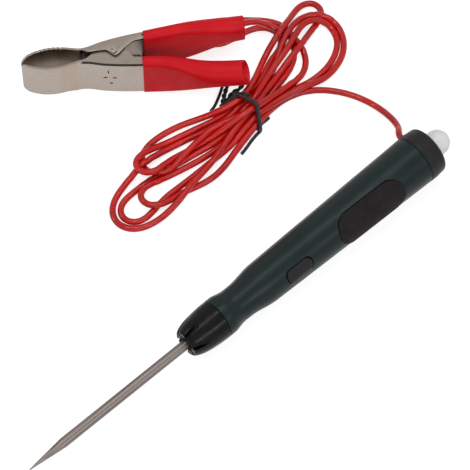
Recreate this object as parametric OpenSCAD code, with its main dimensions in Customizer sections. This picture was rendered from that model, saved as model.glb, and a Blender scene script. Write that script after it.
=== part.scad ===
// Hand-held automotive circuit tester: a steel spike in a moulded handle with a push button, a pad and
// a lamp at its rear. One red lead leaves the rear cap, lies in a tied hank and ends in a battery clip.
// Millimetres. The tester lies on z = 0 along X, spike towards -X, resting on its nose and its rear cap.

/* [Probe] */
// Diameter of the steel spike
rod_d = 4; // [3:0.1:4.6]
// Length of the spike outside the nose
rod_out = 78; // [40:1:110]
// Length of the conical point
point_len = 16.5; // [8:0.5:25]
// Diameter of the very tip
tip_d = 0.5; // [0.3:0.1:1]

/* [Nose] */
// Length of the nose ahead of the handle
nose_len = 16; // [13:0.5:22]
// Diameter of the nose where it meets the handle
nose_d = 16.6; // [16:0.1:18]
// Diameter of the nose's flat front end
nose_front_d = 9.8; // [9:0.1:12]
// Number of flutes round the nose's front
flute_count = 6; // [4:1:12]

/* [Handle] */
// Length of the handle between the nose and the rear cap
handle_len = 104; // [100:1:130]
// Diameter of the finger neck behind the nose
neck_d = 14.6; // [14.2:0.1:15.4]
// Diameter of the handle behind the neck
belly_d = 17.5; // [17:0.1:18]
// Wall of the handle moulding
wall = 1.7; // [1.2:0.1:2]
// Turn of the button and the pad round the handle from straight up
roll = 58; // [0:1:90]

/* [Button] */
// Length of the push button
button_len = 12.4; // [9:0.1:14]
// Width of the push button
button_w = 5.6; // [4.5:0.1:6]
// Distance of the button's middle behind the nose
button_at = 36; // [33:0.5:42]
// Gap between the button and its slot
button_gap = 0.3; // [0.2:0.05:0.4]
// How far the button travels inward
button_travel = 0.8; // [0.4:0.1:0.9]
// How far the button stands proud of the handle
button_proud = 0.6; // [0.1:0.1:1]

/* [Grip pad] */
// Length of the grip pad
pad_len = 33.4; // [25:0.1:40]
// Width of the grip pad
pad_w = 13.8; // [11:0.1:15]
// Distance of the pad's middle behind the nose
pad_at = 73.7; // [68:0.1:76]
// How far the pad stands proud of the handle
pad_proud = 0.6; // [0.2:0.1:0.8]
// Depth of the pad's seat in the handle
pad_sink = 0.9; // [0.5:0.1:1]

/* [Rear cap and lamp] */
// Length of the rear cap behind the handle
cap_len = 8; // [7:0.5:12]
// Diameter of the rear cap; the handle's rear end follows it
cap_d = 21; // [20.2:0.1:24]
// Diameter of the lens
dome_d = 10.4; // [8:0.1:11]
// How far the lens stands out of the cap
dome_out = 9.4; // [6:0.1:12]
// Diameter of the lamp's glass
bulb_d = 5.2; // [4:0.1:6]

/* [Lead] */
// Diameter of the insulated lead
lead_d = 2.7; // [2:0.1:3]
// Distance of the lead's hole behind the handle
lead_at = 3.2; // [3:0.1:4]

/* [Clip] */
// Width of the clip's levers
lever_w = 20.3; // [18:0.1:22]
// Thickness of the lever sheet
lever_t = 0.9; // [0.6:0.1:1]
// Length of the sleeves
sleeve_len = 43; // [38:0.5:50]
// Outer diameter of the sleeves' open ends
sleeve_d = 10.3; // [9:0.1:10.6]
// Diameter of the pivot pin
pin_d = 2.2; // [1.8:0.1:3]
// Wire diameter of the torsion spring
clip_wire_d = 0.9; // [0.6:0.1:1.1]

/* [Hidden] */

round_fn = 64;
press_gap = 0.02;
fit_gap = 0.05;
run_gap = 0.08;
seam = 0.3;
flush_step = 0.05;

// Stations along the tester's own axis, from the seam between nose and handle
collar_len = 2;
neck_from = 8.5;
neck_to = 11;
belly_at = 24;
spigot_len = 7;
front_spigot_d = 12;
rear_d = cap_d - 2 * flush_step;
nose_end = -nose_len;
tip_x = -(rod_out + nose_len);
cap_end = handle_len + cap_len;
cap_land = 3;
rear_spigot_len = 9;
rear_spigot_x = handle_len - rear_spigot_len;
rear_spigot_r = rear_d / 2 - wall - fit_gap;
cap_bore_r = rear_spigot_r - 1.2;
// Distance of the lead from the axis inside the cap, beside the lamp's socket
inner_y = cap_bore_r - lead_d / 2 - 3 * fit_gap;
lamp_socket_d = 2 * (inner_y - lead_d / 2 - 5 * fit_gap);
dome_mid = cap_end + dome_out - dome_d / 2;

// The tester rests on the nose's rim and on the cap's land, so its axis rises a little to the rear
rest_tilt = atan((cap_d - nose_d) / 2 / (handle_len + cap_land + seam));
axis_rise = (nose_d / 2 + seam * tan(rest_tilt)) * cos(rest_tilt);
axis_shift = -((tip_x + dome_mid) * cos(rest_tilt) + dome_d / 2) / 2;

// Outline helpers: a smooth step between two radii, an arc and a smoothed line
function ramp(x0, r0, x1, r1, n) =
  [for (i = [1:n]) [x0 + (x1 - x0) * i / n, r0 + (r1 - r0) * (1 - cos(180 * i / n)) / 2]];
function arc(cx, cy, r, a0, a1, n) =
  [for (i = [0:n]) let (a = a0 + (a1 - a0) * i / n) [cx + r * cos(a), cy + r * sin(a)]];
function spline_at(p0, p1, p2, p3, t) =
  0.5 * (2 * p1 + (p2 - p0) * t + (2 * p0 - 5 * p1 + 4 * p2 - p3) * t * t
         + (3 * p1 - p0 - 3 * p2 + p3) * t * t * t);
function smooth(pts, n) = let (last = len(pts) - 1)
  concat([for (i = [0:last - 1], k = [0:n - 1])
          spline_at(pts[max(i - 1, 0)], pts[i], pts[i + 1], pts[min(i + 2, last)], k / n)],
         [pts[last]]);
function reversed(pts) = [for (i = [len(pts) - 1:-1:0]) pts[i]];
function unit(v) = v / norm(v);

// Radius of the handle behind the belly, and of its cavity there
function handle_r(x) = belly_d / 2 + (rear_d - belly_d) / 2 * (x - belly_at) / (handle_len - belly_at);
cavity_front_r = neck_d / 2 - wall;

// Places along the tester's axis, upright or turned with the button
module tester() {
  translate([axis_shift, 0, axis_rise]) rotate([0, -rest_tilt, 0]) children();
}
module rolled() {
  tester() rotate([roll, 0, 0]) children();
}
// Turns a profile drawn as [distance, radius] about the tester's axis
module turned(profile) {
  rotate([0, 90, 0]) rotate([0, 0, 90]) rotate_extrude($fn = round_fn)
    polygon([for (p = profile) [p[1], p[0]]]);
}
// Cylinder along the axis between two stations
module bar(x0, x1, r) {
  translate([x0, 0, 0]) rotate([0, 90, 0]) cylinder(h = x1 - x0, r = r, $fn = round_fn);
}
// Upright prism with rounded corners, lengthways along the axis
module slab(x_mid, length, width, corner, z0, z1) {
  translate([x_mid, 0, z0]) linear_extrude(z1 - z0) {
    square([length - 2 * corner, width], center = true);
    square([length, width - 2 * corner], center = true);
    for (i = [-1, 1], j = [-1, 1])
      translate([i * (length / 2 - corner), j * (width / 2 - corner)]) circle(r = corner, $fn = round_fn);
  }
}
// Tube swept along points, with one ring at each point
function ring_dirs(pts) = let (last = len(pts) - 1)
  [for (i = [0:last]) unit(pts[min(i + 1, last)] - pts[max(i - 1, 0)])];
function ring_side(d) = unit(cross(d, abs(d[2]) > 0.9 ? [1, 0, 0] : [0, 0, 1]));
module swept(pts, d, sides = 8) {
  dirs = ring_dirs(pts);
  last = len(pts) - 1;
  points = [for (i = [0:last], k = [0:sides - 1])
            let (side = ring_side(dirs[i]), up = cross(side, dirs[i]), a = 360 * k / sides)
            pts[i] + d / 2 * (cos(a) * side + sin(a) * up)];
  walls = [for (i = [0:last - 1], k = [0:sides - 1])
           let (a = i * sides + k, b = i * sides + (k + 1) % sides)
           each [[a, b, b + sides], [a, b + sides, a + sides]]];
  caps = [[for (k = [sides - 1:-1:0]) k], [for (k = [0:sides - 1]) last * sides + k]];
  polyhedron(points = points, faces = concat(walls, caps));
}

// Probe

socket_front = -11;
socket_d = 6.8;
socket_flange_d = 9.2;
socket_end = spigot_len + 1.2;
rod_seat = 5;
shank_r = rod_d / 2 - 0.25;

// Straight rod with a cone in front and, inside the nose, a thinner shank
module probe_rod() {
  color("silver") tester() turned([[tip_x, 0], [tip_x, tip_d / 2], [tip_x + point_len, rod_d / 2],
    [nose_end, rod_d / 2], [nose_end, shank_r], [rod_seat, shank_r], [rod_seat, 0]]);
}

module rod_socket() {
  color("goldenrod") tester() difference() {
    union() {
      bar(socket_front, spigot_len, socket_d / 2);
      bar(spigot_len, socket_end, socket_flange_d / 2);
    }
    bar(socket_front - 1, rod_seat, shank_r + press_gap);
  }
}

// Nose

mouth_d = 7.2;
mouth_depth = 3;
nose_arc_steps = 14;
flute_r = 0.8;
flute_end = -8.5;
flute_slope = 33;

// Quarter of an ellipse from the flat front to the full diameter
nose_profile = concat([[nose_end, 0], [nose_end, nose_front_d / 2 - seam]],
  [for (i = [1:nose_arc_steps])
    let (a = 90 * i / nose_arc_steps)
    [-nose_len * cos(a) - seam, nose_front_d / 2 + (nose_d - nose_front_d) / 2 * sin(a)]],
  [[0, nose_d / 2 - seam], [0, front_spigot_d / 2], [spigot_len, front_spigot_d / 2], [spigot_len, 0]]);

// Groove with a round bottom, deepest at the nose's front
module flute() {
  translate([flute_end, 0, nose_d / 2 + flute_r]) rotate([0, -90 - flute_slope, 0])
    linear_extrude(nose_len) {
      circle(r = flute_r, $fn = round_fn);
      translate([0, -flute_r]) square([nose_d, 2 * flute_r]);
    }
}

module nose_cap() {
  color([0.1, 0.09, 0.1]) tester() difference() {
    turned(nose_profile);
    // Funnel round the rod
    turned([[nose_end - 1, 0], [nose_end - 1, mouth_d / 2], [nose_end, mouth_d / 2],
            [nose_end + mouth_depth, rod_d / 2 - seam], [nose_end + mouth_depth, 0]]);
    bar(nose_end, 0, shank_r + run_gap);
    bar(socket_front - fit_gap, spigot_len + 1, socket_d / 2 + press_gap);
    for (i = [0:flute_count - 1]) rotate([360 * i / flute_count, 0, 0]) flute();
  }
}

// Handle

ramp_steps = 8;
rail_w = 1.2;
rail_h = 1.6;
board_top = 0.4;
board_t = 1.6;
board_w = 12.4;
board_from = belly_at;
board_to = handle_len - 12;
rail_top = board_top - board_t - fit_gap;

handle_outline = concat([[0, nose_d / 2 - seam], [seam, nose_d / 2], [collar_len, nose_d / 2]],
  ramp(collar_len, nose_d / 2, neck_from, neck_d / 2, ramp_steps),
  ramp(neck_to, neck_d / 2, belly_at, belly_d / 2, ramp_steps),
  [[handle_len - seam, rear_d / 2], [handle_len, rear_d / 2 - seam]]);
cavity_outline = concat([[-1, 0], [-1, front_spigot_d / 2 + fit_gap],
   [spigot_len, front_spigot_d / 2 + fit_gap], [spigot_len, cavity_front_r], [neck_to, cavity_front_r]],
  ramp(neck_to, cavity_front_r, belly_at, belly_d / 2 - wall, ramp_steps),
  [[rear_spigot_x, handle_r(rear_spigot_x) - wall], [rear_spigot_x, rear_d / 2 - wall],
   [handle_len + 1, rear_d / 2 - wall], [handle_len + 1, 0]]);

module handle_shell() {
  color([0.16, 0.21, 0.21]) union() {
    difference() {
      tester() turned(concat([[0, 0]], handle_outline, [[handle_len, 0]]));
      tester() turned(cavity_outline);
      rolled() slab(button_at, button_len + 2 * button_gap, button_w + 2 * button_gap,
                    button_corner + button_gap, 0, cap_d);
      rolled() pad_band(fit_gap, -pad_sink - fit_gap, cap_d / 4);
    }
    // Rails that carry the circuit board's edges
    rolled() intersection() {
      turned([[board_from + 2, 0], [board_from + 2, belly_d / 2 - wall / 2],
              [board_to - 2, handle_r(board_to) - wall / 2], [board_to - 2, 0]]);
      for (side = [-1, 1])
        translate([board_from, side * (board_w / 2 + rail_w) - cap_d / 4, rail_top - rail_h])
          translate([0, side * (cap_d / 4 - rail_w * 2), 0]) cube([handle_len, cap_d / 2, rail_h]);
    }
  }
}

// Grip pad

pad_corner = pad_w / 2 - 0.4;

// Band that follows the handle, cut to the pad's outline and grown all round by grow. low and high
// are measured from the handle's surface
module pad_band(grow, low, high) {
  x0 = pad_at - pad_len;
  x1 = pad_at + pad_len;
  intersection() {
    turned([[x0, handle_r(x0) + low], [x0, handle_r(x0) + high],
            [x1, handle_r(x1) + high], [x1, handle_r(x1) + low]]);
    slab(pad_at, pad_len + 2 * grow, pad_w + 2 * grow, pad_corner + grow, 0, cap_d);
  }
}

module grip_pad() {
  color([0.13, 0.12, 0.13]) rolled() pad_band(0, -pad_sink, pad_proud);
}

// Button and switch

button_corner = 2;
flange_top = 5.9;
flange_t = 0.9;
flange_rim = 0.8;
plunger_d = 3.4;
switch_w = 6;
switch_h = 3.4;
switch_floor = 0.7;
plunger_spare = 0.3;
plunger_low = board_top + switch_floor + button_travel + plunger_spare;
switch_top = board_top + switch_h;
plunger_top = flange_top - flange_t;

module switch_button() {
  color([0.1, 0.1, 0.1]) rolled() {
    intersection() {
      slab(button_at, button_len, button_w, button_corner, flange_top - flange_t / 2, cap_d);
      turned([[0, 0], [0, handle_r(0) + button_proud],
              [handle_len, handle_r(handle_len) + button_proud], [handle_len, 0]]);
    }
    slab(button_at, button_len + 2 * flange_rim, button_w + 2 * flange_rim, button_corner,
         flange_top - flange_t, flange_top);
  }
}

module switch_plunger() {
  color("ivory") rolled() translate([button_at, 0, plunger_low])
    cylinder(h = plunger_top - plunger_low, d = plunger_d, $fn = round_fn);
}

module switch_body() {
  color("dimgray") rolled() difference() {
    translate([button_at - switch_w / 2, -switch_w / 2, board_top]) cube([switch_w, switch_w, switch_h]);
    translate([button_at, 0, board_top + switch_floor])
      cylinder(h = switch_h, d = plunger_d + 2 * run_gap, $fn = round_fn);
  }
}

// Circuit board and what it carries

resistor_d = 2.3;
resistor_len = 6.3;
resistor_lead_d = 0.6;
resistor_pitch = 10;
resistor_at = [52, 68];
resistor_rise = board_top + resistor_d / 2;

module circuit_board() {
  color("darkgreen") rolled() difference() {
    translate([board_from, -board_w / 2, board_top - board_t])
      cube([board_to - board_from, board_w, board_t]);
    for (x = resistor_at, side = [-1, 1])
      translate([x + side * resistor_pitch / 2, 0, board_top - board_t - 1])
        cylinder(h = board_t + 2, d = resistor_lead_d + 2 * press_gap, $fn = 24);
  }
}

module resistors() {
  color("burlywood") rolled() for (x = resistor_at) {
    translate([x - resistor_len / 2, 0, resistor_rise]) rotate([0, 90, 0])
      cylinder(h = resistor_len, d = resistor_d, $fn = 32);
    translate([x - resistor_pitch / 2, 0, resistor_rise]) rotate([0, 90, 0])
      cylinder(h = resistor_pitch, d = resistor_lead_d, $fn = 24);
    for (side = [-1, 1]) translate([x + side * resistor_pitch / 2, 0, board_top - board_t - 0.5])
      cylinder(h = resistor_rise - board_top + board_t + 0.5 + resistor_lead_d / 2,
               d = resistor_lead_d, $fn = 24);
  }
}

contact_t = 0.5;
contact_r = 3.6;
contact_len = 6;
contact_x = board_from - contact_t - fit_gap;

// Upright disc for the spring, with a foot that lies on the board
module board_contact() {
  color("goldenrod") rolled() {
    bar(contact_x, contact_x + contact_t, contact_r);
    translate([contact_x, -contact_r / 2, board_top]) cube([contact_len, contact_r, contact_t]);
  }
}

spring_wire_d = 0.5;
spring_mean_r = 2.6;
spring_turns = 7;
spring_steps = 12;

// Compression spring between the rod's socket and the board's contact
module contact_spring() {
  x0 = socket_end + spring_wire_d / 2;
  x1 = contact_x - spring_wire_d / 2;
  count = spring_turns * spring_steps;
  color("silver") tester() swept([for (i = [0:count]) let (a = 360 * i / spring_steps)
    [x0 + (x1 - x0) * i / count, spring_mean_r * cos(a), spring_mean_r * sin(a)]], spring_wire_d, 6);
}

// Lamp

lamp_socket_from = handle_len - 6;
lamp_socket_to = handle_len + 1;
lamp_socket_wall = 1.4;
lamp_base_d = lamp_socket_d - 2 * lamp_socket_wall;
terminal_w = 2.4;
terminal_t = 0.6;
terminal_gap = 3;

// Two brass strips from the board's end to the socket's back
module lamp_terminals() {
  color("goldenrod") rolled() for (side = [-1, 1])
    translate([board_to - terminal_gap, side * terminal_gap - terminal_w / 2, board_top])
      cube([lamp_socket_from - board_to + terminal_gap, terminal_w, terminal_t]);
}

module lamp_socket() {
  color("goldenrod") tester() difference() {
    bar(lamp_socket_from, lamp_socket_to, lamp_socket_d / 2);
    bar(lamp_socket_from + 1, lamp_socket_to + 1, lamp_base_d / 2 + press_gap);
  }
}

bulb_end = dome_mid + 1;

module lamp_bulb() {
  color("whitesmoke") tester() turned(concat([[lamp_socket_from + 1, 0],
    [lamp_socket_from + 1, lamp_base_d / 2], [lamp_socket_to + 1.5, lamp_base_d / 2],
    [lamp_socket_to + 2, bulb_d / 2]],
    arc(bulb_end - bulb_d / 2, 0, bulb_d / 2, 90, 0, 8)));
}

dome_wall = 1;
dome_flange_d = dome_d + 3;
dome_flange_t = 1.2;
cap_wall = 2;
cap_cavity_r = cap_d / 2 - cap_wall;
dome_seat = cap_end - cap_wall;

module lamp_dome() {
  color("white", 0.9) tester() difference() {
    union() {
      bar(dome_seat - dome_flange_t, dome_seat, dome_flange_d / 2);
      turned(concat([[dome_seat - dome_flange_t, 0], [dome_seat - dome_flange_t, dome_d / 2]],
                    arc(dome_mid, 0, dome_d / 2, 90, 0, 12)));
    }
    turned(concat([[dome_seat - dome_flange_t - 1, 0],
                   [dome_seat - dome_flange_t - 1, dome_d / 2 - dome_wall]],
                  arc(dome_mid, 0, dome_d / 2 - dome_wall, 90, 0, 12)));
  }
}

// Rear cap

cap_round = 1.6;
cap_taper = 0.3;
web_from = handle_len - 4;
web_t = 2;
bush_d = 4.8;
lead_x = handle_len + lead_at;
lead_mouth_r = cap_d / 2 - 0.1;

cap_outline = concat([[handle_len, cap_bore_r], [handle_len, cap_d / 2 - seam],
   [handle_len + seam, cap_d / 2], [handle_len + cap_land, cap_d / 2]],
  arc(cap_end - cap_round, cap_d / 2 - cap_taper - cap_round, cap_round, 90, 0, 6),
  [[cap_end, dome_d / 2 + run_gap], [dome_seat, dome_d / 2 + run_gap], [dome_seat, cap_cavity_r],
   [handle_len + 1, cap_cavity_r], [handle_len + 1, cap_bore_r]]);

module rear_cap() {
  color([0.14, 0.13, 0.14]) tester() difference() {
    union() {
      turned(cap_outline);
      turned([[rear_spigot_x, cap_bore_r], [rear_spigot_x, rear_spigot_r],
              [handle_len + seam, rear_spigot_r], [handle_len + seam, cap_bore_r]]);
      turned([[web_from, lamp_socket_d / 2 + press_gap], [web_from, rear_spigot_r],
              [web_from + web_t, rear_spigot_r], [web_from + web_t, lamp_socket_d / 2 + press_gap]]);
    }
    translate([lead_x, 0, 0]) rotate([-90, 0, 0])
      cylinder(h = cap_d, d = bush_d + 2 * press_gap, $fn = round_fn);
    translate([web_from - 1, inner_y, 0]) rotate([0, 90, 0])
      cylinder(h = web_t + 2, d = lead_d + 4 * fit_gap, $fn = round_fn);
  }
}

module lead_bush() {
  color([0.1, 0.1, 0.1]) tester() translate([lead_x, cap_cavity_r, 0]) rotate([-90, 0, 0])
    difference() {
      cylinder(h = lead_mouth_r - cap_cavity_r, d = bush_d, $fn = round_fn);
      translate([0, 0, -1]) cylinder(h = cap_d, d = lead_d + 2 * fit_gap, $fn = round_fn);
    }
}

// Lead. Its free stretches are swept along points chosen by hand, in the part's own frame

module lead_inner() {
  bend_y = cap_cavity_r - 0.3;
  color("firebrick") tester() swept(smooth([[lead_x, lead_mouth_r, 0], [lead_x, lead_mouth_r - 1.2, 0],
    [lead_x, bend_y, 0], [lead_x - 0.4, bend_y - 1.1, 0], [lead_x - 1.6, inner_y + 0.3, 0],
    [lead_x - 3.4, inner_y, 0], [web_from, inner_y, 0], [web_from - 2, inner_y, 0],
    [web_from - 4.5, inner_y - 0.5, 0.1], [board_to + 1.5, 4.6, 0.4], [board_to - 1, 3.5, 0.75]], 2), lead_d);
}

lead_exit = [axis_shift + lead_x * cos(rest_tilt), lead_mouth_r, axis_rise + lead_x * sin(rest_tilt)];
lead_out_route = [[93.6, 12, 10.5], [94.9, 14.6, 10], [97, 17.8, 8.7], [98.9, 21.8, 6.8], [99.9, 26.2, 4.8],
  [100.2, 31, 3], [99.8, 36.2, 1.8], [98.3, 42.4, 1.4], [95, 47.6, 1.4], [91.4, 51, 1.4],
  [87.6, 53.8, 1.5], [83.4, 56, 1.7]];
bight_route = [[93.4, 84.6, 1.4], [92.4, 88.4, 1.4], [89.4, 92, 1.4], [85.4, 95, 1.4], [81.4, 96.4, 1.4],
  [77.4, 95.6, 1.4], [73.8, 95.6, 1.4], [70.9, 97.6, 1.4], [70.2, 101, 1.4], [72, 104, 1.4],
  [75.2, 105.2, 1.4], [78.6, 104, 1.4], [82, 101.2, 1.4], [86, 98.6, 1.4], [90.2, 95.6, 1.4],
  [93.6, 92, 1.4], [95.6, 87.6, 1.4], [96.4, 84, 1.4]];
lead_clip_route = [[97.6, 78, 3.6], [97.6, 81.8, 4], [96.8, 85.6, 4.8], [94.6, 88.6, 6], [91.2, 90.4, 7.8],
  [87.4, 91, 10], [84, 91.3, 11.6], [80.6, 91.8, 12.3], [77.4, 92.6, 12.4], [74, 94, 12.3]];

module lead_to_hank() {
  color("firebrick") swept(concat([lead_exit + [0, fit_gap, 0]], lead_out_route), lead_d);
}
module lead_bight() {
  color("firebrick") swept(bight_route, lead_d);
}
module lead_to_clip() {
  color("firebrick") swept(concat(lead_clip_route, [crimp_mouth]), lead_d);
}

// Outer shape of the tied hank: a flat outline with round ends, higher where the tie gathers it
hank_h = 5.2;
bundle_h = 5.8;
bundle_from = 50;
bundle_to = 72;
hank_outline = smooth([[-15, 62], [-12.5, 54], [-5, 49.6], [8, 48.6], [24, 49], [40, 51.8], [50, 54.8],
  [60, 55.8], [72, 54.6], [84, 53], [98, 51.6], [108, 54.4], [115, 61], [118, 70], [118.4, 82],
  [113, 88.6], [104, 88.4], [97, 86.6], [90, 83.6], [83, 81.4], [76, 75.4], [70, 71.6], [60, 69.8],
  [52, 72.2], [40, 77.6], [28, 79.6], [16, 79.4], [6, 76.6], [-4, 74.4], [-11.6, 70], [-15, 62]], 3);
bundle_outline = [[bundle_from, 56.4], [56, 56], [64, 56], [bundle_to, 57], [bundle_to, 67.6],
  [64, 69.6], [56, 69.6], [bundle_from, 70]];

module lead_hank() {
  color("firebrick") difference() {
    union() {
      linear_extrude(hank_h) polygon(hank_outline);
      linear_extrude(bundle_h) polygon(bundle_outline);
    }
    translate([tie_at - tie_w / 2 - fit_gap, 0, 0]) linear_extrude_x(tie_w + 2 * fit_gap)
      difference() {
        translate([0, -1]) square([tie_y1 + 20, 2 * bundle_h]);
        tie_loop_hole();
      }
  }
}

// Twist tie round the hank, with its twisted tails
tie_at = 60;
tie_w = 2.2;
tie_t = 1;
tie_y0 = 55.8;
tie_y1 = 69.8;
tie_round = 2.4;
tie_wire_d = 1.8;
tail_low_route = [[60.8, 55, 2.4], [58.8, 54.2, 1.8], [55.8, 53.8, 1.2], [51.6, 52.8, 1], [46.8, 51.6, 1]];
tail_high_route = [[60, 70.4, 4], [59.4, 72.6, 4.6], [58.2, 76, 4.4], [58.8, 79, 3], [61.4, 81, 1.5]];
tail_side_route = [[60.4, 70.4, 2.6], [61.6, 73.2, 3.4], [64.2, 75, 2.8], [67.6, 76.6, 1.6], [70.4, 79, 1]];

// Extrudes a shape drawn as [y, z] along X
module linear_extrude_x(h) {
  rotate([90, 0, 90]) linear_extrude(h) children();
}
module tie_loop_hole() {
  polygon(concat(arc(tie_y0 + tie_round, bundle_h - tie_round, tie_round, 180, 90, 6),
                 arc(tie_y1 - tie_round, bundle_h - tie_round, tie_round, 90, 0, 6),
                 [[tie_y1, tie_t], [tie_y0, tie_t]]));
}
module tie_loop_outer() {
  r = tie_round + tie_t;
  polygon(concat(arc(tie_y0 + tie_round, bundle_h - tie_round, r, 180, 90, 6),
                 arc(tie_y1 - tie_round, bundle_h - tie_round, r, 90, 0, 6),
                 [[tie_y1 + tie_t, 0], [tie_y0 - tie_t, 0]]));
}
module hank_tie() {
  color([0.1, 0.1, 0.1]) {
    translate([tie_at - tie_w / 2, 0, 0]) linear_extrude_x(tie_w) difference() {
      tie_loop_outer();
      tie_loop_hole();
    }
    swept(tail_low_route, tie_wire_d);
    swept(tail_high_route, tie_wire_d);
    swept(tail_side_route, tie_wire_d);
  }
}

// Clip, in its own frame: u towards the handles, v towards the rear lever, z along the pin

clip_x = 31.2;
clip_y = 111.85;
clip_turn = -34;
sleeve_wall = 0.9;
clip_low = sleeve_wall + 0.1;
stack = lever_t + 0.1;
front_z = clip_low;
rear_z = clip_low + stack;
clip_top = rear_z + lever_w;
jaw_tip_u = -37.3;
lever_end_u = 35;
grip_u = 21;
tongue_u = 32;
grip_end_w = 6.8;
flange_depth = 2.2;
ear_r = 2.4;
corner_r = 3;
jaw_step = 1.9;
sleeve_u = 10.5;
rear_sleeve_u = 12.2;
sleeve_end_u = sleeve_u + sleeve_len;
sleeve_v = 10.4;
neck_r = 5.25;
neck_wall = 1;
// Where each sleeve starts, stops being flat and is round, and the height of its middle there
front_sleeve_form = [sleeve_u, grip_u, 33, 8.7];
rear_sleeve_form = [rear_sleeve_u, 31, 46, 9.9];

// Inner face of the sheet, from the tip of the jaw to the end of the handle
lever_line = smooth([[jaw_tip_u, 0.15], [-36.4, 0.5], [-33.8, 2], [-29.5, 3.5], [-25, 4], [-21, 3.6],
  [-17, 2.7], [-13.6, 2], [-10.5, 2.3], [-7, 3.3], [-4, 4.1], [4, 5.5], [14, 6.6], [lever_end_u, 8.6]], 4);
function line_v(u) = lookup(u, lever_line);
function shifted(line, d) = let (dirs = ring_dirs(line))
  [for (i = [0:len(line) - 1]) line[i] + d * [-dirs[i][1], dirs[i][0]]];

module clip_frame() {
  translate([clip_x, clip_y, 0]) rotate([0, 0, clip_turn]) children();
}
// Stretch of the inner face between two stations
function line_part(u0, u1) = [for (p = lever_line) if (p[0] >= u0 && p[0] <= u1) p];
// Free edge of the flange beside the pin, from the neck to the grip, drawn back from the pin's line by back
ear_from = -12.6;
ear_to = 13.5;
function ear_edge(back) = smooth([[ear_from, 1.9], [-11.6, 1.5], [-10.6, 0.9], [-9, 0.3 + back / 2],
  [-6.8, back], [-3.4, back - 0.1], [-2, back * 0.7 - 0.9], [0, back * 0.2 - ear_r], [2.1, back * 0.5 - 1.5],
  [3.8, back - 0.3], [5.4, 1.3 + back / 2], [7.1, 3], [8.6, 3.7], [10.6, 3.9],
  [ear_to, line_v(ear_to) - flange_depth]], 2);
// Plate of the lever's sheet at height z, from the inner face inwards to depth
module flange(z, depth, u0, u1) {
  edge = line_part(u0, u1);
  translate([0, 0, z]) linear_extrude(lever_t)
    polygon(concat(shifted(edge, lever_t / 2), reversed(shifted(edge, -depth))));
}
// Ear that reaches over to the pin
module ear(z, hole_r, back) {
  translate([0, 0, z]) linear_extrude(lever_t) difference() {
    polygon(concat(shifted(line_part(ear_from, ear_to), lever_t / 2), reversed(ear_edge(back))));
    circle(r = hole_r, $fn = round_fn);
  }
}

teeth_from = -32;
teeth_to = -21;
tooth_pitch = 1.8;
tooth_depth = 0.4;

// Side view of the lever: rounded jaw corners, the jaw's lower edge stepped up, and narrower in the sleeve
module lever_side(toothed) {
  half = lever_w / 2;
  jaw_half = half - jaw_step;
  corner_u = jaw_tip_u + corner_r;
  difference() {
    polygon(concat(arc(corner_u, half - corner_r, corner_r, 180, 90, 6),
      [[grip_u, half], [tongue_u, grip_end_w / 2], [lever_end_u + 1, grip_end_w / 2],
       [lever_end_u + 1, -grip_end_w / 2], [tongue_u, -grip_end_w / 2], [grip_u, -half], [-12.6, -half],
       [-16, -half + jaw_step / 3], [-20, -jaw_half]],
      arc(corner_u, corner_r - jaw_half, corner_r, 270, 180, 6)));
    if (toothed) for (u = [teeth_from + tooth_pitch:tooth_pitch:teeth_to], edge = [-jaw_half, half])
      polygon([[u - tooth_pitch / 2, edge + sign(edge) * 0.01], [u, edge - sign(edge) * tooth_depth],
               [u + tooth_pitch / 2, edge + sign(edge) * 0.01]]);
  }
}

// One pressed lever on the +v side, with its lower edge at z
module lever(z, hole_r, toothed, ear_back) {
  intersection() {
    union() {
      translate([0, 0, z]) linear_extrude(lever_w)
        polygon(concat(shifted(lever_line, lever_t), reversed(lever_line)));
      for (plate_z = [z, z + lever_w - lever_t]) {
        flange(plate_z, flange_depth, ear_to - 1, grip_u);
        ear(plate_z, hole_r, ear_back);
      }
    }
    translate([0, cap_d, z + lever_w / 2]) rotate([90, 0, 0])
      linear_extrude(2 * cap_d) lever_side(toothed);
  }
}

module rear_jaw() {
  color("lightgray") clip_frame() lever(rear_z, pin_d / 2 + press_gap, true, 0.9);
}

lance_u = -2.6;
lance_z = -0.2;

module front_jaw() {
  color("lightgray") clip_frame() difference() {
    mirror([0, 1, 0]) lever(front_z, pin_d / 2 + run_gap, false, -1.4);
    // Four slits in a cross, each as [along, up, length, height], for the stop of the spring's leg
    for (slit = [[-1.9, 0, 1.6, 0.8], [1.8, 0, 1.5, 0.8], [-0.6, 4, 0.5, 1.9], [0.3, -3.9, 1.1, 0.9]])
      translate([lance_u + slit[0] - slit[2] / 2, -cap_d / 2,
                 front_z + lever_w / 2 + lance_z + slit[1] - slit[3] / 2])
        cube([slit[2], cap_d / 4 + 1, slit[3]]);
  }
}

pin_head_d = 2.9;
pin_head_t = 0.6;

module pivot_pin() {
  color("silver") clip_frame() {
    translate([0, 0, front_z]) cylinder(h = clip_top - front_z, d = pin_d, $fn = round_fn);
    translate([0, 0, front_z - fit_gap - pin_head_t]) cylinder(h = pin_head_t, d = pin_head_d, $fn = round_fn);
    translate([0, 0, front_z - fit_gap - pin_head_t]) cylinder(h = pin_head_t + 1, d = pin_d, $fn = round_fn);
    translate([0, 0, clip_top]) cylinder(h = pin_head_t, d = pin_head_d, $fn = round_fn);
  }
}

clip_spring_r = 2.4;
clip_spring_turns = 8;
clip_spring_steps = 12;
clip_spring_from = 6.6;
clip_spring_pitch = 1.2;
leg_u = 11;

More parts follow.
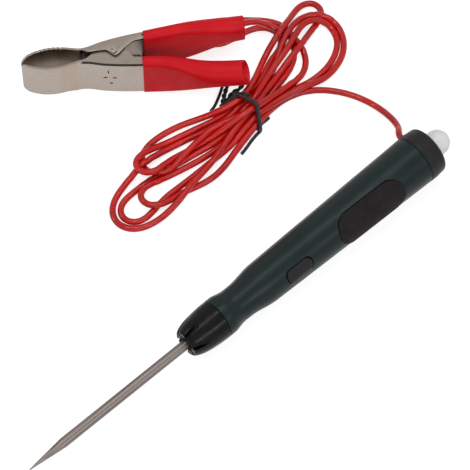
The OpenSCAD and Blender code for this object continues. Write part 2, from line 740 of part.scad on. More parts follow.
// Torsion spring round the pin, with a leg on each lever
module clip_spring() {
  count = clip_spring_turns * clip_spring_steps + clip_spring_steps / 2;
  z0 = clip_spring_from;
  z1 = z0 + count / clip_spring_steps * clip_spring_pitch;
  leg_v = line_v(leg_u) - clip_wire_d / 2 - 0.2;
  coil = [for (i = [0:count]) let (a = 90 + 360 * i / clip_spring_steps)
          [clip_spring_r * cos(a), clip_spring_r * sin(a), z0 + i / clip_spring_steps * clip_spring_pitch]];
  color("silver") clip_frame()
    swept(concat([[leg_u, leg_v, z0 - 0.4], [4, clip_spring_r + 1.4, z0 - 0.3]], coil,
                 [[4, -clip_spring_r - 1.4, z1 + 0.3], [leg_u, -leg_v, z1 + 0.4]]), clip_wire_d, 8);
}

// Vinyl sleeve on the +v side: flat over the lever, round at its open end. grow thickens or thins it
section_v = (lever_t - flange_depth) / 2;
slot_t = lever_t + flange_depth + 0.2;

module across(u, v) {
  translate([u, v, 0]) rotate([0, 90, 0]) children();
}
module sleeve_outer(form) {
  flat_r = slot_t / 2 + sleeve_wall;
  half = lever_w / 2 + clip_low - flat_r;
  ends = [for (u = [form[0], form[1]]) [u, line_v(u) + section_v]];
  hull() for (p = ends, side = [-1, 1])
    across(p[0], p[1]) translate([side * half, 0, 0]) cylinder(h = 0.01, r = flat_r, $fn = 32);
  hull() {
    for (side = [-1, 1]) across(ends[1][0], ends[1][1]) translate([side * half, 0, 0])
      cylinder(h = 0.01, r = flat_r, $fn = 32);
    across(form[2], form[3]) cylinder(h = 0.01, r = neck_r, $fn = 32);
  }
  hull() {
    across(form[2], form[3]) cylinder(h = 0.01, r = neck_r, $fn = 32);
    across(sleeve_end_u - 0.01, sleeve_v) cylinder(h = 0.01, d = sleeve_d, $fn = 32);
  }
}
module sleeve_inner(form) {
  tall = lever_w + 0.2;
  ends = [for (u = [form[0] - 1, form[1]]) [u, line_v(u) + section_v - slot_t / 2, -tall / 2]];
  hull() for (p = ends) translate(p) cube([0.01, slot_t, tall]);
  hull() {
    translate(ends[1]) cube([0.01, slot_t, tall]);
    across(form[2], form[3]) cylinder(h = 0.01, r = neck_r - neck_wall, $fn = 32);
  }
  hull() {
    across(form[2], form[3]) cylinder(h = 0.01, r = neck_r - neck_wall, $fn = 32);
    across(sleeve_end_u + 0.5, sleeve_v) cylinder(h = 0.01, r = sleeve_d / 2 - sleeve_wall, $fn = 32);
  }
}
module sleeve(form) {
  difference() {
    sleeve_outer(form);
    sleeve_inner(form);
  }
}
module rear_sleeve() {
  color("crimson") clip_frame() translate([0, 0, rear_z + lever_w / 2]) sleeve(rear_sleeve_form);
}
module front_sleeve() {
  color("crimson") clip_frame() translate([0, 0, front_z + lever_w / 2]) mirror([0, 1, 0])
    sleeve(front_sleeve_form);
}

// Crimped ferrule on the lead's end, with a tongue on the lever
crimp_from = 33;
crimp_u = 37;
crimp_len = 5;
crimp_v = 8.6;
crimp_d = 4;
crimp_tongue_t = 0.8;
crimp_z = rear_z + lever_w / 2;
crimp_end_u = crimp_u + crimp_len;
crimp_mouth = [clip_x + (crimp_end_u - 1) * cos(clip_turn) - crimp_v * sin(clip_turn),
               clip_y + (crimp_end_u - 1) * sin(clip_turn) + crimp_v * cos(clip_turn), crimp_z];

module lead_crimp() {
  tongue_v = line_v(crimp_from) - crimp_tongue_t - 0.1;
  color("silver") clip_frame() difference() {
    union() {
      across(crimp_u, crimp_v) translate([-crimp_z, 0, 0]) cylinder(h = crimp_len, d = crimp_d, $fn = round_fn);
      translate([crimp_from - 5, tongue_v - 0.5, crimp_z - 1.5])
        cube([crimp_u - crimp_from + 6, crimp_tongue_t, 3]);
    }
    across(crimp_u + 2, crimp_v) translate([-crimp_z, 0, 0])
      cylinder(h = crimp_len, d = lead_d + 2 * fit_gap, $fn = round_fn);
  }
}

probe_rod();
rod_socket();
nose_cap();
handle_shell();
grip_pad();
switch_button();
switch_plunger();
switch_body();
circuit_board();
resistors();
board_contact();
contact_spring();
lamp_terminals();
lamp_socket();
lamp_bulb();
lamp_dome();
rear_cap();
lead_bush();
lead_inner();
lead_to_hank();
lead_hank();
lead_bight();
lead_to_clip();
hank_tie();
rear_jaw();
front_jaw();
pivot_pin();
clip_spring();
rear_sleeve();
front_sleeve();
lead_crimp();
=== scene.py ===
# %% [markdown]
# The object is a hand-held circuit tester for cars: a steel spike in a moulded handle, with a push
# button, a rubber pad and a lamp, and one red lead that lies in a tied hank and ends in a sprung clip.
# Its exact solids come from the CAD and are the frame that everything here is fitted to. A second model
# could be built from nothing, but then the looks and the moving joints would drift apart.
# %% Load the frame
import math

import bpy
import numpy as np
from mathutils import Matrix, Vector


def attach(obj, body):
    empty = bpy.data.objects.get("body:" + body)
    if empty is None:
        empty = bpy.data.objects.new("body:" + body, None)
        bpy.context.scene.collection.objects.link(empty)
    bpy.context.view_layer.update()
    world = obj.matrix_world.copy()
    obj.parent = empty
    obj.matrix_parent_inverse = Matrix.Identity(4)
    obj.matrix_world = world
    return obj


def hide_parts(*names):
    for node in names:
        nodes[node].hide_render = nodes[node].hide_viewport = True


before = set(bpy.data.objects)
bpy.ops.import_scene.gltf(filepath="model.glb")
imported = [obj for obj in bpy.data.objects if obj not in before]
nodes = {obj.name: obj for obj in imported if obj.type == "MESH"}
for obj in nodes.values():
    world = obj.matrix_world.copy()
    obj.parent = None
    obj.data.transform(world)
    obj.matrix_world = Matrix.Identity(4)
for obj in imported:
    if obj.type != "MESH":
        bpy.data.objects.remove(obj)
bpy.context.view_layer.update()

MM = 0.001

# %% [markdown]
# The photo is taken from above and a little from the front, with a long lens, so far and near parts keep
# nearly the same size. The camera stands over a metre away and looks down on the middle of the layout.
# It could be placed by eye, but its place was worked out from where the tip, the seams and the clip's
# corners lie in the picture.
# %% Camera
camera_place = Vector((-0.3754, -0.4135, 1.0444))
camera_aim = Vector((0.0191, 0.0265, 0.0))
bpy.ops.object.camera_add(location=camera_place)
camera = bpy.context.object
camera.name = "studio_camera"
camera.rotation_euler = (camera_aim - camera_place).to_track_quat("-Z", "Y").to_euler()
camera.data.sensor_width = 36
camera.data.lens = 234.4
camera.data.clip_end = 20
bpy.context.scene.camera = camera
print("camera to aim, m:", round((camera_aim - camera_place).length, 3))

# %% [markdown]
# The product lies on a white table under soft light. A white floor could be lit until it burns out, but
# that would bleach the object too. Here the lamps stay low, and the floor and the sky only look white
# where the camera, a reflection or clear plastic sees them. The floor still takes the object's shadow.
# %% White table and sky
def joined(tree, operation, *values):
    """One value from several, two by two through a Math node."""
    total = values[0]
    for value in values[1:]:
        both = tree.nodes.new("ShaderNodeMath")
        both.operation = operation
        tree.links.new(total, both.inputs[0])
        tree.links.new(value, both.inputs[1])
        total = both.outputs[0]
    return total


def seen_directly(tree):
    """A 1 for rays from the camera, from a reflection or through clear plastic, else a 0."""
    path = tree.nodes.new("ShaderNodeLightPath").outputs
    return joined(
        tree, "MAXIMUM", path["Is Camera Ray"], path["Is Glossy Ray"], path["Is Transmission Ray"]
    )


def between(tree, chooser, low, high, start=0.0, end=1.0):
    """Goes from low to high as the chooser goes from start to end."""
    span = tree.nodes.new("ShaderNodeMapRange")
    tree.links.new(chooser, span.inputs["Value"])
    span.inputs["From Min"].default_value = start
    span.inputs["From Max"].default_value = end
    span.inputs["To Min"].default_value = low
    span.inputs["To Max"].default_value = high
    return span.outputs["Result"]


SKY_ON_OBJECT, SKY_SEEN = 0.3, 1.0
sky = bpy.data.worlds.new("studio_sky")
sky.use_nodes = True
bpy.context.scene.world = sky
sky_light = sky.node_tree.nodes["Background"]
sky_light.inputs["Color"].default_value = (1, 1, 1, 1)
sky_strength = between(sky.node_tree, seen_directly(sky.node_tree), SKY_ON_OBJECT, SKY_SEEN)
sky.node_tree.links.new(sky_strength, sky_light.inputs["Strength"])
print("sky light:", SKY_ON_OBJECT, "on the object,", SKY_SEEN, "where it is seen")

# %% Table top
TABLE_SIDE, TABLE_GREY, TABLE_GLOW = 8, 0.55, 0.8
bpy.ops.object.select_all(action="DESELECT")
bpy.ops.mesh.primitive_plane_add(size=TABLE_SIDE, location=(0, 0, 0))
table = bpy.context.object
table.name = "table_top"
bpy.ops.object.mode_set(mode="EDIT")
bpy.ops.mesh.subdivide(number_cuts=3)
bpy.ops.object.mode_set(mode="OBJECT")
table_white = bpy.data.materials.new("table_white")
table_white.use_nodes = True
tree = table_white.node_tree
tree.nodes.remove(tree.nodes["Principled BSDF"])
matte = tree.nodes.new("ShaderNodeBsdfDiffuse")
matte.inputs["Color"].default_value = (TABLE_GREY, TABLE_GREY, TABLE_GREY, 1)
own_white = tree.nodes.new("ShaderNodeEmission")
tree.links.new(between(tree, seen_directly(tree), 0.0, TABLE_GLOW), own_white.inputs["Strength"])
both = tree.nodes.new("ShaderNodeAddShader")
tree.links.new(matte.outputs[0], both.inputs[0])
tree.links.new(own_white.outputs[0], both.inputs[1])
tree.links.new(both.outputs[0], tree.nodes["Material Output"].inputs["Surface"])
table.data.materials.append(table_white)
print("table, m:", [round(v, 2) for v in table.dimensions])

# %% [markdown]
# Two long softboxes hang over the tester, side by side along it, so that its round handle shows two broad
# light bands with a darker line between them, as in the photo. A third lamp opens the shadows. Point
# lamps would give small hard spots, which this picture doesn't have.
# %% Softboxes
def softbox(name, place, aim, length, width, watts):
    """A lamp that faces the aim, with its long side along the tester."""
    bpy.ops.object.light_add(type="AREA", location=place)
    lamp = bpy.context.object
    lamp.name = name
    lamp.data.shape = "RECTANGLE"
    lamp.data.size = length
    lamp.data.size_y = width
    lamp.data.energy = watts
    back = (Vector(place) - Vector(aim)).normalized()
    side = (Vector((1, 0, 0)) - back * back.x).normalized()
    lamp.rotation_euler = Matrix((side, back.cross(side), back)).transposed().to_euler()
    print(name, "is", round((Vector(aim) - Vector(place)).length, 2), "m away")
    return lamp


softbox("softbox_over", (0.1, 0.1, 0.9), (0, 0.04, 0), 0.8, 0.07, 2.2)
softbox("softbox_near", (-0.1, -0.75, 0.55), (0, 0.02, 0), 0.8, 0.06, 2.6)
softbox("softbox_far", (-0.5, 0.7, 0.7), (0, 0.06, 0), 0.5, 0.12, 1.2)
bpy.context.scene.view_settings.view_transform = "Standard"

# %% [markdown]
# The lead is one insulated wire, 2.7 mm thick and limp. It leaves the rear cap, comes down to the table,
# lies there in five folds that a tie gathers, and ends in the clip. The photo shows it from end to end,
# so its length is what the picture gives. It could be a bundle of separate loops, but a real lead is one
# piece, so the route here is one line too: the lists below are the places that it passes, read from the
# photo, in millimetres, with each strand's height where it crosses another.
# %% Route from the cap to the tie, and the first fold
LEAD_D = 2.7
leave_cap = [
    (93.5, 10.4, 10.5), (93.6, 12, 10.5), (95, 14, 9.7), (97.1, 16.4, 7.8), (98.9, 20.9, 5.8),
    (99.9, 26.9, 3.6), (99.9, 32.5, 2), (98.9, 37.3, 1.4), (97.2, 41.4, 1.4), (95.3, 45.2, 1.4),
    (92.9, 48.6, 1.4), (90.3, 51.7, 1.4), (87.4, 54.5, 1.4), (85, 57.3, 1.4), (82.7, 58.9, 1.4),
    (79.3, 60, 1.4), (75, 60.6, 1.4), (70.5, 61, 1.4), (66, 58.9, 1.4), (60, 58.7, 1.4),
]
inner_left_fold = [
    (54, 57.6, 1.4), (48, 56, 1.4), (42, 53.6, 1.4), (36, 51.6, 1.4), (29, 50.8, 1.4), (23, 51.6, 1.4),
    (18, 53.6, 2.6), (13, 55.8, 4), (8.4, 55.6, 4.1), (4.4, 56, 4.1), (1.2, 58, 4.1), (0.4, 61, 4.1),
    (2.2, 64, 4.1), (6, 65.2, 4.1), (12, 64.8, 4.1), (18, 63.4, 4.1), (26, 61.4, 4), (34, 60.2, 3),
    (42, 59.8, 1.4), (50, 60.2, 1.4), (60, 61.6, 1.4),
]
inner_right_fold = [
    (70.7, 61.9, 1.4), (75.5, 61.1, 1.4), (79.9, 60, 1.4), (83.6, 58.7, 1.4), (87.5, 57.8, 1.4),
    (91.5, 57.7, 1.4), (95.8, 58.2, 1.4), (99.9, 59.3, 1.4), (103.9, 61.1, 1.4), (107.2, 63.1, 1.4),
    (109.9, 65.6, 1.4), (112.1, 68.6, 1.4), (113, 71.7, 2.4), (112.5, 74.7, 4.1), (111.3, 76.7, 5.4),
    (109.3, 78.4, 5.8), (106.7, 79.5, 5.6), (102.5, 79, 5.6), (98.1, 76.7, 6.8), (94.1, 75.3, 6.8),
    (91.1, 75, 5.4), (88, 74.6, 4.1), (84.3, 73.5, 4.1), (80.7, 72.5, 4.1), (77.1, 71.3, 4.1),
    (73, 69.7, 4.1), (66, 66.4, 4.1), (60, 65.2, 2.6),
]

# %% Route of the middle folds
middle_left_fold = [
    (54, 64, 1.4), (48, 63.2, 1.4), (42, 63.2, 1.4), (33, 64.2, 1.4), (22, 65.4, 1.4), (11, 65.8, 1.4),
    (3, 65.9, 1.4), (-3, 65.9, 1.4), (-7.4, 64.6, 1.4), (-9.5, 61, 1.4), (-8.4, 57.4, 1.4),
    (-4.5, 55.6, 1.4), (1, 56, 1.4), (8, 56.2, 1.4), (16, 56.4, 1.4), (26, 56.8, 1.4), (35, 57, 1.4),
    (43, 57.6, 3), (50, 58.4, 4), (60, 59.8, 4.1),
]
outer_right_fold = [
    (66, 60.6, 4.1), (69.1, 60.1, 4.1), (74.4, 59.4, 4.1), (79.3, 58.2, 4.1), (83.6, 56.9, 4.1),
    (87.6, 56.2, 3.6), (91.6, 55.9, 3), (96, 56.1, 2), (101, 56.9, 1.4), (104.3, 57.6, 1.4),
    (107.7, 59.1, 1.4), (110.1, 61.4, 1.4), (112.2, 64.8, 1.4), (113.4, 68.6, 1.4), (114.2, 72.7, 1.4),
    (113.4, 76, 2.2), (111.9, 78.6, 3.4), (110, 80.6, 4.1), (107.7, 82.4, 4.1), (104.8, 82.8, 4.1),
    (99.6, 81, 6.4), (94.9, 79.5, 6.8), (90.5, 78.3, 5.4), (86.4, 76.6, 4.1), (81.5, 73.8, 4.1),
    (76.3, 70.9, 4.1), (71.5, 68.4, 4.1), (60, 67.2, 4.1),
]
outer_left_fold = [
    (54, 67.2, 1.4), (45, 69.6, 2.6), (36, 71.6, 4.1), (27, 73, 4.1), (19, 73.4, 4.1), (11, 73.2, 4.1),
    (3, 72, 3), (-4, 70.2, 1.6), (-9.6, 67, 1.4), (-12.7, 62.6, 1.4), (-12.3, 58, 1.4), (-9.2, 54.2, 1.4),
    (-4, 51.8, 1.4), (3, 51, 1.4), (10, 51.8, 1.4), (17, 53.4, 4), (25, 54.6, 4.1), (33, 55.6, 4.1),
    (41, 58, 4.1), (50, 61.6, 4.1), (60, 63.6, 5.4),
]
tall_right_fold = [
    (66, 64.8, 6.8), (70.3, 66, 6.4), (74.1, 67.1, 5.6), (77, 67.9, 5.6), (80.2, 68.9, 5.6),
    (83, 69.6, 5.6), (85.8, 70.3, 5.6), (88.6, 71, 6), (91, 71.4, 6.8), (94.1, 72.1, 6.8),
    (97.5, 73.1, 6.4), (102.1, 75.5, 4.1), (106.5, 77.8, 2), (109.7, 79, 1.4), (112.8, 79.4, 1.4),
    (115.3, 80.8, 1.4), (116.4, 83.3, 1.4), (115.2, 85.9, 1.4), (112, 86.8, 1.4), (108.2, 86.4, 2),
    (102.8, 85, 4.4), (96.6, 83.3, 6.4), (91.7, 82.2, 6.8), (87.5, 81.1, 6), (83.7, 80.1, 4.1),
    (79.3, 77.7, 4.1), (75, 75.2, 4.1), (71.1, 72.5, 4.1), (60, 69.4, 4.6),
]

# %% Route of the last folds and to the clip
upper_left_fold = [
    (54, 69.8, 3.6), (47, 73.8, 2), (40, 76.6, 1.4), (33, 78.6, 1.4), (26, 79.4, 1.4), (19.6, 78.8, 1.4),
    (13.8, 76, 1.4), (11.2, 71.6, 1.4), (12.6, 67, 1.4), (17, 64.8, 3.4), (22, 66.2, 4.1), (28, 66.6, 4.1),
    (35, 66.2, 4.1), (43, 65.6, 4.1), (52, 65.2, 4.1), (60, 64.8, 3.6),
]
far_bight = [
    (66, 64.4, 2.6), (73.5, 65.3, 1.6), (77.5, 66.2, 1.4), (80.7, 66.9, 1.4), (84, 67.8, 1.4),
    (87.7, 69.2, 1.4), (91, 70.4, 1.4), (94, 72.1, 1.4), (96.3, 74.8, 1.4), (98, 78, 1.4),
    (98.8, 81.4, 1.4), (98.8, 84.8, 1.4), (97.6, 88.6, 1.4), (95, 92, 1.4), (91.8, 95, 1.4),
    (88.4, 97.9, 1.4), (85, 100.8, 1.4), (81.4, 103.6, 1.4), (77.6, 105.9, 1.4), (73.9, 106.9, 1.4),
    (70.9, 105.2, 1.4), (69.9, 101.6, 1.4), (71.2, 98.2, 1.4), (74.2, 96.2, 1.4), (77.8, 95.4, 1.4),
    (81.4, 94.9, 1.4), (85, 94, 1.4), (88.4, 92.6, 1.4), (91.6, 90.6, 1.4), (94.2, 87.8, 1.4),
    (95.4, 84.4, 1.4), (94.4, 81, 1.4), (91.6, 78.6, 1.4), (88, 76.9, 1.4), (84, 75.3, 1.4),
    (79.6, 73.6, 1.4), (75, 71.6, 1.4), (70, 70, 1.4), (60, 68.4, 1.4),
]
short_left_fold = [
    (54, 69, 1.4), (46, 70, 1.4), (38, 71.8, 1.4), (30, 74, 1.4), (23, 75.8, 2.6), (17, 76.8, 4),
    (11.6, 75.6, 4.1), (8, 72, 4.1), (8.6, 68.2, 4.1), (12.6, 66, 4.1), (19, 66.6, 4.1), (26, 67, 3.4),
    (34, 66.2, 2.2), (42, 65, 6.6), (50, 63.6, 6.6), (55, 62, 5.4), (60, 61.4, 4.6),
]
reach_clip = [
    (66, 61.9, 4.4), (69.8, 61.5, 4.2), (74.7, 61.1, 3), (80.1, 61.2, 1.4), (84.6, 61.6, 1.4),
    (88.8, 63.1, 1.4), (92.8, 65.4, 1.4), (95.5, 68.4, 1.4), (96.5, 71.4, 2.6), (96, 74.9, 4.1),
    (95.9, 79.1, 4.1), (95.2, 82.9, 4.1), (93.6, 86.2, 5.4), (90.9, 89, 8), (86.7, 90.4, 11),
    (82.2, 91.5, 13.2), (77.6, 92.5, 12.6), (74, 94, 12.3), (70, 96.05, 12.15),
]
lead_places = (
    leave_cap + inner_left_fold + inner_right_fold + middle_left_fold + outer_right_fold + outer_left_fold
    + tall_right_fold + upper_left_fold + far_bight + short_left_fold + reach_clip
)
print("places on the lead:", len(lead_places))

# %% [markdown]
# A line drawn through those places is smooth, but its strands run into each other where they cross. A
# real lead settles: it has weight, resists bending, and one strand lies on the next. Blender's own
# rope-like simulation would take minutes and could shift from run to run. This small settling in numpy
# does the same four things in turn, with nothing random: weight, stiffness, a pull back to the plan, and
# strands that push each other apart. A fifth keeps every fold wider than the wire would take, and under
# the tie the strands rest on its wire.
# %% Draw the line and space it evenly
def curve_through(places, steps):
    """Points on a smooth line through the places."""
    places = np.array(places, float)
    ends = np.vstack([places[:1], places, places[-1:]])
    line = []
    for p0, p1, p2, p3 in zip(ends[:-3], ends[1:-2], ends[2:-1], ends[3:]):
        for t in np.arange(steps) / steps:
            line.append(
                0.5 * (2 * p1 + (p2 - p0) * t + (2 * p0 - 5 * p1 + 4 * p2 - p3) * t**2
                       + (3 * p1 - p0 - 3 * p2 + p3) * t**3)
            )
    return np.array(line + [places[-1]])


def evenly_spaced(line, step):
    """Points on the same line, about one step apart."""
    along = np.r_[0, np.cumsum(np.linalg.norm(np.diff(line, axis=0), axis=1))]
    marks = np.linspace(0, along[-1], int(round(along[-1] / step)) + 1)
    return np.stack([np.interp(marks, along, line[:, k]) for k in range(3)], 1)


LEAD_STEP = 1.35
STEPS_BETWEEN_PLACES = 14
lead_plan = evenly_spaced(curve_through(lead_places, STEPS_BETWEEN_PLACES), LEAD_STEP)
print("drawn lead, mm:", round(len(lead_plan) * LEAD_STEP), "in", len(lead_plan), "points")


# %% What the lead rests on, and how it behaves
# The tie's wire crosses under the strands: its thickness, middle, slant, and how far it holds them up
TIE_D = 1.8
TIE_MIDDLE = np.array([60.0, 63.0])
TIE_SLANT = 0.286
TIE_REACH = 10
TIE_SLOPE = 4
CLEAR = 0.02  # what rests on the table stays this far above it

# Points this many steps apart stay at least as far from each other as on a fold of this radius
FOLD_RADIUS = 6.0
FOLD_STEPS = 5
fold_chord = 2 * FOLD_RADIUS * math.sin(FOLD_STEPS * LEAD_STEP / 2 / FOLD_RADIUS)

# The drop by weight in one round, in millimetres, and the share of the way that it takes the others
DROP, PLAN_PULL, STIFFNESS, SMOOTHING, WIDENING = 0.03, 0.04, 0.08, 0.2, 0.45
# Points nearer along the wire than this many diameters never push each other
NEIGHBOURS = 2.2
PUSHES = 3
SEARCH_EVERY, SEARCH_MARGIN = 10, 1.2
ROUNDS = 240
# Points at each end that stay where the plan has them, in the cap's bush and in the clip's sleeve
HELD_AT_CAP, HELD_AT_CLIP = 24, 16


def touching_pairs(line, far_apart):
    """The pairs of points, not neighbours on the wire, that are near enough to touch soon."""
    gaps = np.linalg.norm(line[:, None] - line[None], axis=2)
    return np.nonzero(np.triu(far_apart & (gaps < LEAD_D + SEARCH_MARGIN)))


def floor_under(line):
    """The height that the wire's middle can sink to: the table, or the tie where it passes beneath."""
    off = line[:, :2] - TIE_MIDDLE
    beside = off[:, 0] - TIE_SLANT * off[:, 1]
    under_tie = TIE_D * np.exp(-((beside / TIE_SLOPE) ** 2)) * (abs(off[:, 1]) < TIE_REACH)
    return LEAD_D / 2 + CLEAR + under_tie


print("wire thickness, mm:", LEAD_D, "narrowest fold that it aims at, mm:", FOLD_RADIUS)


# %% Let the lead settle
def settle(plan, rounds, held_first, held_last, ramp=12, stride=3):
    """Rounds of weight, plan, stiffness, fold width and contact; both ends are held."""
    line, count = plan.copy(), len(plan)
    free = np.ones(count)
    free[:held_first] = free[count - held_last:] = 0
    for i in range(ramp):
        free[held_first + i] = free[count - held_last - 1 - i] = (i + 1) / (ramp + 1)
    index = np.arange(count)
    far_apart = abs(index[:, None] - index[None]) > int(NEIGHBOURS * LEAD_D / LEAD_STEP)
    loose = free[:, None]
    for step in range(rounds):
        if step % SEARCH_EVERY == 0:
            one, other = touching_pairs(line, far_apart)
        line[:, 2] -= DROP * free
        line[:, :2] += PLAN_PULL * (plan[:, :2] - line[:, :2]) * loose
        bend = np.zeros_like(line)
        s = stride
        bend[2 * s:-2 * s] = (
            line[:-4 * s] - 4 * line[s:-3 * s] + 6 * line[2 * s:-2 * s] - 4 * line[3 * s:-s] + line[4 * s:]
        )
        line -= STIFFNESS * bend * loose
        middle = line.copy()
        middle[1:-1] = (line[:-2] + line[2:]) / 2
        line += SMOOTHING * (middle - line) * loose
        chord = line[FOLD_STEPS:] - line[:-FOLD_STEPS]
        span = np.linalg.norm(chord, axis=1)
        widen = chord * (np.maximum(fold_chord - span, 0) / span * WIDENING)[:, None]
        line[FOLD_STEPS:] += widen * loose[FOLD_STEPS:]
        line[:-FOLD_STEPS] -= widen * loose[:-FOLD_STEPS]
        for _ in range(PUSHES):
            apart = line[other] - line[one]
            square = (apart**2).sum(1)
            hit = square < LEAD_D**2
            a, b, apart, gap = one[hit], other[hit], apart[hit], np.sqrt(square[hit]) + 1e-6
            shift = apart * ((LEAD_D - gap) / gap)[:, None]
            share = (free[a] / (free[a] + free[b] + 1e-9))[:, None]
            push, pushed = np.zeros_like(line), np.zeros(count)
            np.add.at(push, a, -shift * share)
            np.add.at(push, b, shift * (1 - share) * (free[b] > 0)[:, None])
            np.add.at(pushed, a, 1)
            np.add.at(pushed, b, 1)
            line += push / np.maximum(pushed, 1)[:, None]
            raised = np.maximum(line[:, 2], floor_under(line))
            line[:, 2] = np.where(free > 0, raised, line[:, 2])
    return line


lead_line = settle(lead_plan, ROUNDS, HELD_AT_CAP, HELD_AT_CLIP)
lead_line = curve_through(lead_line, 2)

# %% Sweep the lead
lead_curve = bpy.data.curves.new("lead", "CURVE")
lead_curve.dimensions = "3D"
# The points' radius makes it as thick as the wire, because Blender adds that radius to the curve's box
lead_curve.bevel_depth = 1
lead_curve.bevel_resolution = 4
lead_curve.use_fill_caps = True
strand = lead_curve.splines.new("POLY")
strand.points.add(len(lead_line) - 1)
strand.points.foreach_set("co", np.c_[lead_line * MM, np.ones(len(lead_line))].ravel())
strand.points.foreach_set("radius", np.full(len(lead_line), LEAD_D / 2 * MM))
strand.use_smooth = True
lead = bpy.data.objects.new("lead", lead_curve)
bpy.context.scene.collection.objects.link(lead)
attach(lead, "root")
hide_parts("lead_to_hank", "lead_hank", "lead_bight", "lead_to_clip")
print("lead ends at, mm:", lead_line[0].round(1), lead_line[-1].round(1))

# %% [markdown]
# The other new pieces are modelled as by hand: a ring is added, then extruded and scaled into a shape. An
# operator works on all that is selected, so a few helpers select one piece, pick points in it by their
# place, finish it with a modifier, and move it to its place on the part.
# %% Helpers for modelling
import bmesh


def work_on(piece):
    """Selects this piece alone and makes it the active one."""
    bpy.ops.object.select_all(action="DESELECT")
    piece.select_set(True)
    bpy.context.view_layer.objects.active = piece


def pick(test):
    """In edit mode, selects the points that pass the test, given in millimetres."""
    bpy.ops.mesh.select_mode(type="VERT")
    mesh = bmesh.from_edit_mesh(bpy.context.object.data)
    for point in mesh.verts:
        point.select = bool(test(point.co / MM))
    mesh.select_flush_mode()
    bmesh.update_edit_mesh(bpy.context.object.data)


def shape_by(piece, kind, **settings):
    """Adds a modifier and applies it."""
    work_on(piece)
    modifier = piece.modifiers.new(kind.title(), kind)
    for name, value in settings.items():
        setattr(modifier, name, value)
    bpy.ops.object.modifier_apply(modifier=modifier.name)


def round_off(piece, width, segments, angle):
    """Bevels the edges that turn by more than the angle, in degrees."""
    shape_by(
        piece, "BEVEL", width=width * MM, segments=segments, limit_method="ANGLE",
        angle_limit=math.radians(angle),
    )


def put(piece, place):
    """Moves a piece to its place and leaves its origin at the world's."""
    work_on(piece)
    piece.matrix_world = place @ piece.matrix_world
    bpy.context.view_layer.update()
    bpy.ops.object.transform_apply(location=True, rotation=True, scale=True)


def face_out(piece, plate=False):
    """Merges doubles and turns the faces outwards, or upwards on an open plate."""
    work_on(piece)
    bpy.ops.object.mode_set(mode="EDIT")
    bpy.ops.mesh.select_all(action="SELECT")
    bpy.ops.mesh.remove_doubles(threshold=1e-6)
    bpy.ops.mesh.normals_make_consistent(inside=False)
    bpy.ops.object.mode_set(mode="OBJECT")
    faces = piece.data.polygons
    area = sum(face.area for face in faces)
    middle = sum((face.center * face.area for face in faces), Vector()) / area
    out = 0
    for face in faces:
        out += face.area * (face.normal.z if plate else face.normal.dot(face.center - middle))
    if out < 0:
        bpy.ops.object.mode_set(mode="EDIT")
        bpy.ops.mesh.flip_normals()
        bpy.ops.object.mode_set(mode="OBJECT")


def start_ring(name, sides, radius):
    """A ring in edit mode, all selected and turned so that no point lies on an axis."""
    bpy.ops.object.select_all(action="DESELECT")
    bpy.ops.mesh.primitive_circle_add(vertices=sides, radius=radius * MM, location=(0, 0, 0))
    ring = bpy.context.object
    ring.name = name
    bpy.ops.object.mode_set(mode="EDIT")
    pick(lambda p: True)
    bpy.ops.transform.rotate(value=math.pi / sides, orient_axis="Z", center_override=(0, 0, 0))
    return ring


# %% [markdown]
# Each sleeve is a soft vinyl tube pulled over a lever: flat and tall where the sheet fills it, and round
# again at its open end. It could be a flattened cylinder, but the change from flat to round is its whole
# shape. So it starts as a round ring, is extruded ring by ring, and at each ring its two halves are scaled
# and slid apart or together. Then it gets its wall, and the rims are rounded.
# %% Helper for a tube of rings
def ring_tube(name, rings, sides=40):
    """An open tube along z. Each ring has round ends, half to each side of x = 0."""
    along, side, half, radius = rings[0]
    tube = start_ring(name, sides, radius)
    bpy.ops.transform.translate(value=(0, side * MM, along * MM))
    for way in (-1, 1):
        pick(lambda p: p.x * way > 0)
        bpy.ops.transform.translate(value=(way * half * MM, 0, 0))
    for next_along, next_side, next_half, next_radius in rings[1:]:
        pick(lambda p: abs(p.z - along) < 0.01)
        step = (0, (next_side - side) * MM, (next_along - along) * MM)
        bpy.ops.mesh.extrude_edges_move(TRANSFORM_OT_translate={"value": step})
        grow = next_radius / radius
        for way in (-1, 1):
            pick(lambda p: abs(p.z - next_along) < 0.01 and p.x * way > 0)
            centre = (way * half * MM, next_side * MM, next_along * MM)
            bpy.ops.transform.resize(value=(grow, grow, 1), center_override=centre)
            bpy.ops.transform.translate(value=(way * (next_half - half) * MM, 0, 0))
        along, side, half, radius = next_along, next_side, next_half, next_radius
    bpy.ops.object.mode_set(mode="OBJECT")
    return tube


# %% Sleeves
CLIP_TURN = math.radians(-34)
CLIP = Matrix.Translation((0.0312, 0.11185, 0)) @ Matrix.Rotation(CLIP_TURN, 4, "Z")
LENGTHWAYS = Matrix.Rotation(math.radians(90), 4, "Y")
SLEEVE_WALL = 0.9
# Each ring is (along the clip, to the side, half of its straight part, radius of its ends)
rear_rings = [
    (12.2, 5.75, 8.6, 2.55), (16, 6.15, 8.6, 2.55), (21, 6.65, 8.55, 2.6), (26, 7.2, 8.35, 2.7),
    (30, 7.7, 7.8, 2.9), (34, 8.3, 6.6, 3.2), (38, 8.95, 5, 3.55), (42, 9.5, 3.5, 3.85), (46, 9.95, 2.4, 4),
    (50, 10.25, 1.8, 4.05), (53.5, 10.4, 1.6, 4.05),
]
front_rings = [
    (10.5, -5.6, 8.6, 2.55), (15.5, -6.1, 8.5, 2.6), (20, -6.6, 8.0, 2.85), (24, -7.2, 6.7, 3.3),
    (28, -7.9, 4.7, 3.95), (32, -8.6, 2.6, 4.55), (36, -9.1, 1.1, 4.95), (41, -9.6, 0.3, 5.1),
    (47, -10.05, 0.1, 5.1), (53.5, -10.4, 0.05, 5.05),
]


